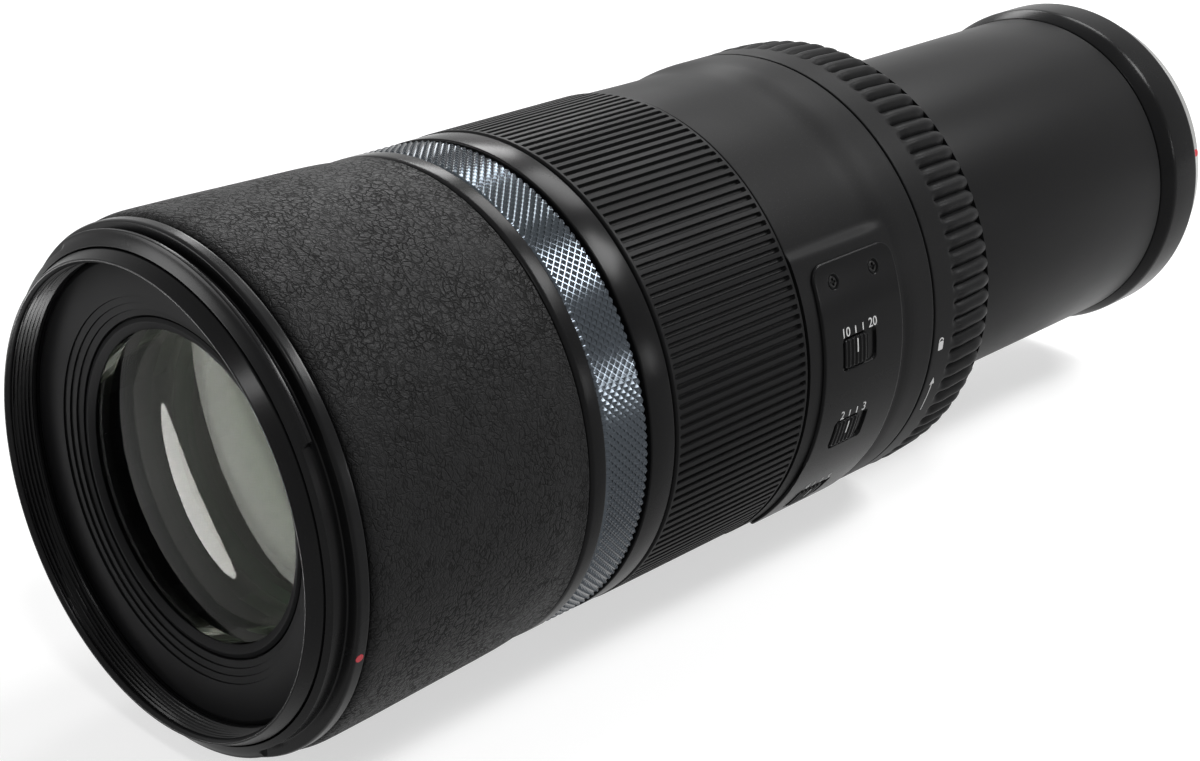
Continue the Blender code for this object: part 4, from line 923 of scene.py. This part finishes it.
def numeral(name, text, size, radius, angle, y, body):
    """A character turned to a mesh and bent round the barrel, its foot towards larger angles."""
    curve = bpy.data.curves.new(name, "FONT")
    curve.body, curve.size, curve.align_x, curve.align_y = text, size, "CENTER", "CENTER"
    curve.extrude = INK_HEIGHT
    curve.resolution_u = 3
    source = bpy.data.objects.new(name + "_curve", curve)
    mesh = bpy.data.meshes.new_from_object(source)
    bpy.data.objects.remove(source)
    drawn = np.empty(len(mesh.vertices) * 3, dtype=np.float32)
    mesh.vertices.foreach_get("co", drawn)
    right, up, out = drawn.reshape(-1, 3).astype(float).T
    bent = around(radius + out, angle - up / radius, y + right)
    mesh.vertices.foreach_set("co", bent.astype(np.float32).ravel())
    mesh.update()
    mesh.materials.clear()
    mesh.materials.append(WHITE_INK)
    obj = link(bpy.data.objects.new(name, mesh))
    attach(obj, body)


SWITCH_THROW = 2.2 * MM
MARK_OFFSET = 4.15 * MM
NUMERAL_SIZE = 2.6 * MM
NUMBERS = {"range_switch": ("10", "20"), "focus_mode_switch": ("2", "3"),
           "steady_switch": ("4", "5")}
for name, angle in KNOBS.items():
    knob_y, knob_rear, _ = span(name)
    above = angle - MARK_OFFSET / PANEL_R
    for number, side in ((1, -1), (2, 1)):
        station = (knob_y + knob_rear) / 2 + (number - 1) * SWITCH_THROW
        mark("%s_tick_%d" % (name, number), PANEL_R, above, station, mm(0.15, 0.7), 0.05 * MM,
             WHITE_INK, "barrel")
        text = NUMBERS[name][number - 1]
        numeral("%s_number_%d" % (name, number), text, NUMERAL_SIZE, PANEL_R + 0.01 * MM, above,
                station + side * (1.4 + 0.75 * len(text)) * MM, "barrel")
print("marks at the switches")

# %% [markdown]
# ## Lock ring
# Turning this ring frees the rear tube. Its front is smooth and marked, and behind that 82
# rounded ribs with sharp valleys swell outwards, so they give a grip against the pull.

# %% Lock ring
LOCK_Y, LOCK_REAR, LOCK_R = span("lock_ring")
LOCK_RIBS = 82
VALLEY_DEPTH = 1.3 * MM
LOCK_FRONT_R = LOCK_R - 0.1 * MM
LOCK_BORE = LOCK_R - 2.5 * MM
LOCK_LIP_R = 38.6 * MM
LOCK_LIP_Y = LOCK_REAR - 2.9 * MM


def scallops(angle, radius, y):
    """Valleys between rounded ribs: one less the size of a cosine, behind the smooth front."""
    valley = 1 - np.abs(np.cos(angle * LOCK_RIBS / 2)) ** 0.8
    grown = step_up(y, LOCK_Y + 5.8 * MM, LOCK_Y + 7.8 * MM)
    return (radius > LOCK_R - VALLEY_DEPTH) * grown * valley * -VALLEY_DEPTH


lock = rounded([
    (LOCK_FRONT_R, LOCK_Y), (LOCK_FRONT_R, LOCK_Y + 7.0 * MM),
    (LOCK_R + 0.2 * MM, LOCK_Y + 9.5 * MM), (LOCK_R - 0.25 * MM, LOCK_REAR - 2.6 * MM),
    (LOCK_R - 1.2 * MM, LOCK_REAR),
    (LOCK_LIP_R, LOCK_REAR), (LOCK_LIP_R, LOCK_LIP_Y), (LOCK_BORE, LOCK_LIP_Y), (LOCK_BORE, LOCK_Y),
], mm(0.3, 1.5, 1.5, 1.6, 0.4, 0.2, 0.1, 0.1, 0.1))
turned("scalloped_lock_ring", densified(lock, 0.7 * MM), "lock_ring", SPECKLE, ["lock_ring"],
       10 * LOCK_RIBS, scallops, sharp=55.0)

# %% Lock marks
MARK_Y = LOCK_Y + 2.6 * MM
mark("lock_body", LOCK_FRONT_R, math.radians(95.0), MARK_Y, mm(0.75, 0.95), 0.15 * MM,
     WHITE_INK, "lock_ring")
mark("lock_line", LOCK_FRONT_R, math.radians(109.8), MARK_Y, mm(0.13, 3.6), 0.05 * MM,
     WHITE_INK, "lock_ring", (4, 24))


def shackle(p, q, h, reach=0.62 * MM):
    """Arch over the padlock: q is an arc length about a centre, p the distance off that arc."""
    turn = q / reach
    angle = math.radians(93.75) - (reach + p) * np.cos(turn) / LOCK_FRONT_R
    return around(LOCK_FRONT_R + h, angle, MARK_Y + (reach + p) * np.sin(turn))


def arrow_head(p, q, h, half=0.8 * MM):
    """Triangle: the width p shrinks evenly from the root of the head to its tip along q."""
    angle = math.radians(105.0) - q / LOCK_FRONT_R
    return around(LOCK_FRONT_R + h, angle, MARK_Y + p * (0.5 - q / (2.1 * half)))


pad("lock_shackle", mm(0.13, 0.95), 0.02 * MM, (3, 14), INK, INK_FLOOR, shackle,
    "lock_ring", WHITE_INK)
pad("lock_arrow", mm(0.75, 0.8), 0.02 * MM, (5, 8), INK, INK_FLOOR, arrow_head,
    "lock_ring", WHITE_INK)

# %% [markdown]
# ## Rear tube, collar and bayonet plate
# The tube that slides into the body is plain satin metal. Its collar flares by a short cone and
# carries the bayonet plate, a bright ring whose three lugs lock in a camera body.

# %% Tube and collar
TUBE_Y, TUBE_REAR, TUBE_R = span("rear_tube")
TUBE_BORE = TUBE_R - 1.5 * MM
tube = rounded([
    (TUBE_R, TUBE_Y), (TUBE_R, TUBE_REAR), (TUBE_BORE, TUBE_REAR), (TUBE_BORE, TUBE_Y),
], 0.25 * MM)
turned("satin_tube", tube, "rear_tube", TUBE_SATIN, ["rear_tube"], 240)

COLLAR_SPIGOT_Y, COLLAR_REAR, COLLAR_R = span("mount_collar")
COLLAR_Y = TUBE_REAR + 0.4 * MM
FLANGE_R = TUBE_R - 1.0 * MM
SPIGOT_R = TUBE_R - 1.8 * MM
SPIGOT_BORE = SPIGOT_R - 1.4 * MM
HUB_R = FLANGE_R - 5.9 * MM
HUB_Y = COLLAR_Y + 4.6 * MM
collar = rounded([
    (SPIGOT_R, COLLAR_SPIGOT_Y), (SPIGOT_R, COLLAR_Y), (TUBE_R, COLLAR_Y),
    (COLLAR_R, COLLAR_Y + 3.5 * MM), (COLLAR_R, COLLAR_REAR - 3.4 * MM),
    (FLANGE_R + 0.5 * MM, COLLAR_REAR), (HUB_R, COLLAR_REAR), (HUB_R, HUB_Y),
    (SPIGOT_BORE, HUB_Y), (SPIGOT_BORE, COLLAR_SPIGOT_Y),
], mm(0.2, 0.1, 0.3, 0.8, 0.4, 0.3, 0.2, 0.2, 0.2, 0.2))
turned("flared_collar", collar, "rear_tube", SATIN, ["mount_collar"], 240)

# %% Bayonet plate
PLATE_Y, PLATE_REAR, _ = span("mount_plate")
BAYONET_R = FLANGE_R - 9.4 * MM
THROAT_R = BAYONET_R - 1.8 * MM
LUG_R = BAYONET_R + 1.5 * MM
FLANGE_Y = PLATE_Y + 4.4 * MM
FACE_Y = FLANGE_Y + 2.1 * MM
SEAT_R = FLANGE_R - 6.2 * MM
LUG_Y = PLATE_REAR - 2.0 * MM
LUG_GAPS = np.radians([60.0, 180.0, 300.0])
LUG_GAP_HALVES = (0.455, 0.467)


def lug_gaps(angle, radius, y):
    """Cuts the bayonet ring back to its barrel over three gaps with steep ends."""
    away = np.abs(np.mod(angle - LUG_GAPS[:, None, None] + np.pi, 2 * np.pi) - np.pi).min(axis=0)
    gap = 1 - step_up(away, *LUG_GAP_HALVES)
    lug = (y > PLATE_REAR - 2.2 * MM) & (radius > BAYONET_R)
    return -gap * lug * (radius - BAYONET_R - 0.02 * MM)


plate = rounded([
    (THROAT_R, PLATE_Y), (SEAT_R, PLATE_Y), (SEAT_R, FLANGE_Y), (FLANGE_R, FLANGE_Y),
    (FLANGE_R, FACE_Y), (BAYONET_R, FACE_Y), (BAYONET_R, LUG_Y), (LUG_R, LUG_Y),
    (LUG_R, PLATE_REAR), (THROAT_R, PLATE_REAR),
], mm(0.2, 0.2, 0.1, 0.25, 0.3, 0.2, 0.15, 0.2, 0.35, 0.3))
turned("bayonet", plate, "rear_tube", CHROME, ["mount_plate"], 480, lug_gaps)

# %% Mount screws and contacts
for number in range(1, 5):
    low, high = (np.array(corner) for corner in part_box("mount_screw_%d" % number))
    middle = (low + high) / 2
    place = on_plane((middle[0], high[1], middle[2]), (-1, 0, 0), (0, 0, 1))
    screw_head("mount_screw_head_%d" % number, 1.9 * MM, 29, 0.6 * MM, -1.0 * MM, place,
               "rear_tube", STEEL, "mount_screw_%d" % number)

BLOCK_Y, BLOCK_REAR, _ = span("contact_block")
CONTACT_R = THROAT_R - 1.8 * MM
CONTACTS = 12
CONTACT_PITCH = 1.8 * MM
PIN_R = 0.55 * MM


def on_throat(shift=0.0):
    """Placing function at the foot of the throat: p outwards, q round it, height rearwards."""
    return lambda p, q, h: around(CONTACT_R + p, math.pi + (q + shift) / CONTACT_R, BLOCK_REAR + h)


pad("contact_shoe", mm(1.45, 11.6), 0.5 * MM, (20, 80),
    lambda p, q, inset: -soft_edge(inset, 0.4 * MM, 0.3 * MM), BLOCK_Y - BLOCK_REAR, on_throat(),
    "rear_tube", INNER, ["contact_block"])
for index in range(CONTACTS):
    pad("contact_pin_%d" % (index + 1), (PIN_R, PIN_R), PIN_R, (9, 9),
        lambda p, q, inset: PIN_R - soft_edge(inset, PIN_R, 0.4 * MM), -0.3 * MM,
        on_throat((index + 0.5 - CONTACTS / 2) * CONTACT_PITCH), "rear_tube", GOLD,
        ["contact_strip"] if index == 0 else ())

# %% Index dots
mark("hood_dot", HOOD_R, math.radians(106.7), HOOD_REAR - 1.15 * MM, mm(0.75, 0.75), 0.75 * MM,
     RED_PAINT, "barrel", (13, 13))
mark("mount_dot", FLANGE_R, math.radians(77.5), FLANGE_Y + 1.05 * MM, mm(0.85, 0.85), 0.85 * MM,
     RED_PAINT, "rear_tube", (13, 13))

# %% [markdown]
# ## Floor, world and lights
# The photograph is on white with soft light from above and from both sides. The floor and the
# world are white to the camera, in reflections and through glass, and grey to everything else,
# so the lens keeps its dark body and a faint shadow. Each softbox hangs where a highlight of the
# photograph is mirrored, and a thin card near the floor gives the glass its two crescents.

# %% Floor and world
WHITE = (1.0, 1.0, 1.0, 1.0)
floor_mesh = bpy.data.meshes.new("floor")
floor_mesh.from_pydata([(-6, -6, 0), (6, -6, 0), (6, 6, 0), (-6, 6, 0)], [], [(0, 1, 2, 3)])
floor = link(bpy.data.objects.new("floor", floor_mesh))
floor.location.z = cad_box[0][2] - 0.1 * MM


def seen_rays(tree, other, seen):
    """One value for rays from the camera, off gloss or through glass, another for the rest."""
    path = node(tree, "ShaderNodeLightPath")
    direct = total(tree, path["Is Camera Ray"], path["Is Glossy Ray"], "MAXIMUM")
    any_seen = total(tree, direct, path["Is Transmission Ray"], "MAXIMUM")
    return remap(tree, any_seen, To_Min=other, To_Max=seen)


def floor_finish():
    """Pale floor: matt grey that takes the shadow, and a glow that makes it white when seen."""
    material, tree, shader = new_material("pale_floor")
    feed(shader, {
        "Roughness": 0.9, "Base Color": (0.45, 0.45, 0.45, 1.0), "Emission Color": WHITE,
        "Emission Strength": seen_rays(tree, 0.0, 0.6),
    })
    return material


floor_mesh.materials.append(floor_finish())

world = bpy.data.worlds.new("studio")
bpy.context.scene.world = world
world.use_nodes = True
glow = seen_rays(world.node_tree, 0.2, 1.0)
feed(world.node_tree.nodes["Background"], {"Color": WHITE, "Strength": glow})
print("floor and world ready")

# %% Lights


def softbox(name, place, aim, size, power):
    """Rectangular area light at a place, turned towards an aim."""
    data = bpy.data.lights.new(name, "AREA")
    data.shape = "RECTANGLE"
    data.size, data.size_y = size
    data.energy = power
    light = link(bpy.data.objects.new(name, data))
    light.location = place
    light.rotation_euler = (Vector(aim) - Vector(place)).to_track_quat("-Z", "Y").to_euler()
    return light


softbox("overhead", (-0.22, 0.76, 0.93), (0.0, 0.0, 0.05), (0.40, 0.30), 6.0)
softbox("rear_left", (-0.74, 0.64, 0.70), (0.0, -0.05, 0.05), (0.30, 0.25), 3.5)
softbox("rear_right", (0.47, 0.72, 0.92), (0.0, 0.0, 0.05), (0.34, 0.30), 12.0)
softbox("right_edge", (0.96, 0.74, 0.24), (0.0, 0.0, 0.05), (0.10, 0.14), 1.5)
softbox("front_right", (0.62, -0.43, 1.13), (0.0, -0.1, 0.06), (0.20, 0.20), 4.0)
softbox("front_left", (-0.55, -0.75, 0.22), (0.0, -0.1, 0.05), (0.3, 0.4), 5.0)
card = softbox("glass_card", (-0.105, -0.2095, 0.002), (0.0, -0.13, 0.05), (0.19, 0.017), 0.273)
card.data.shape = "ELLIPSE"
card.rotation_euler = (math.pi, 0.0, math.radians(30.0))
card.visible_camera = False
print("six softboxes and a low card for the glass")
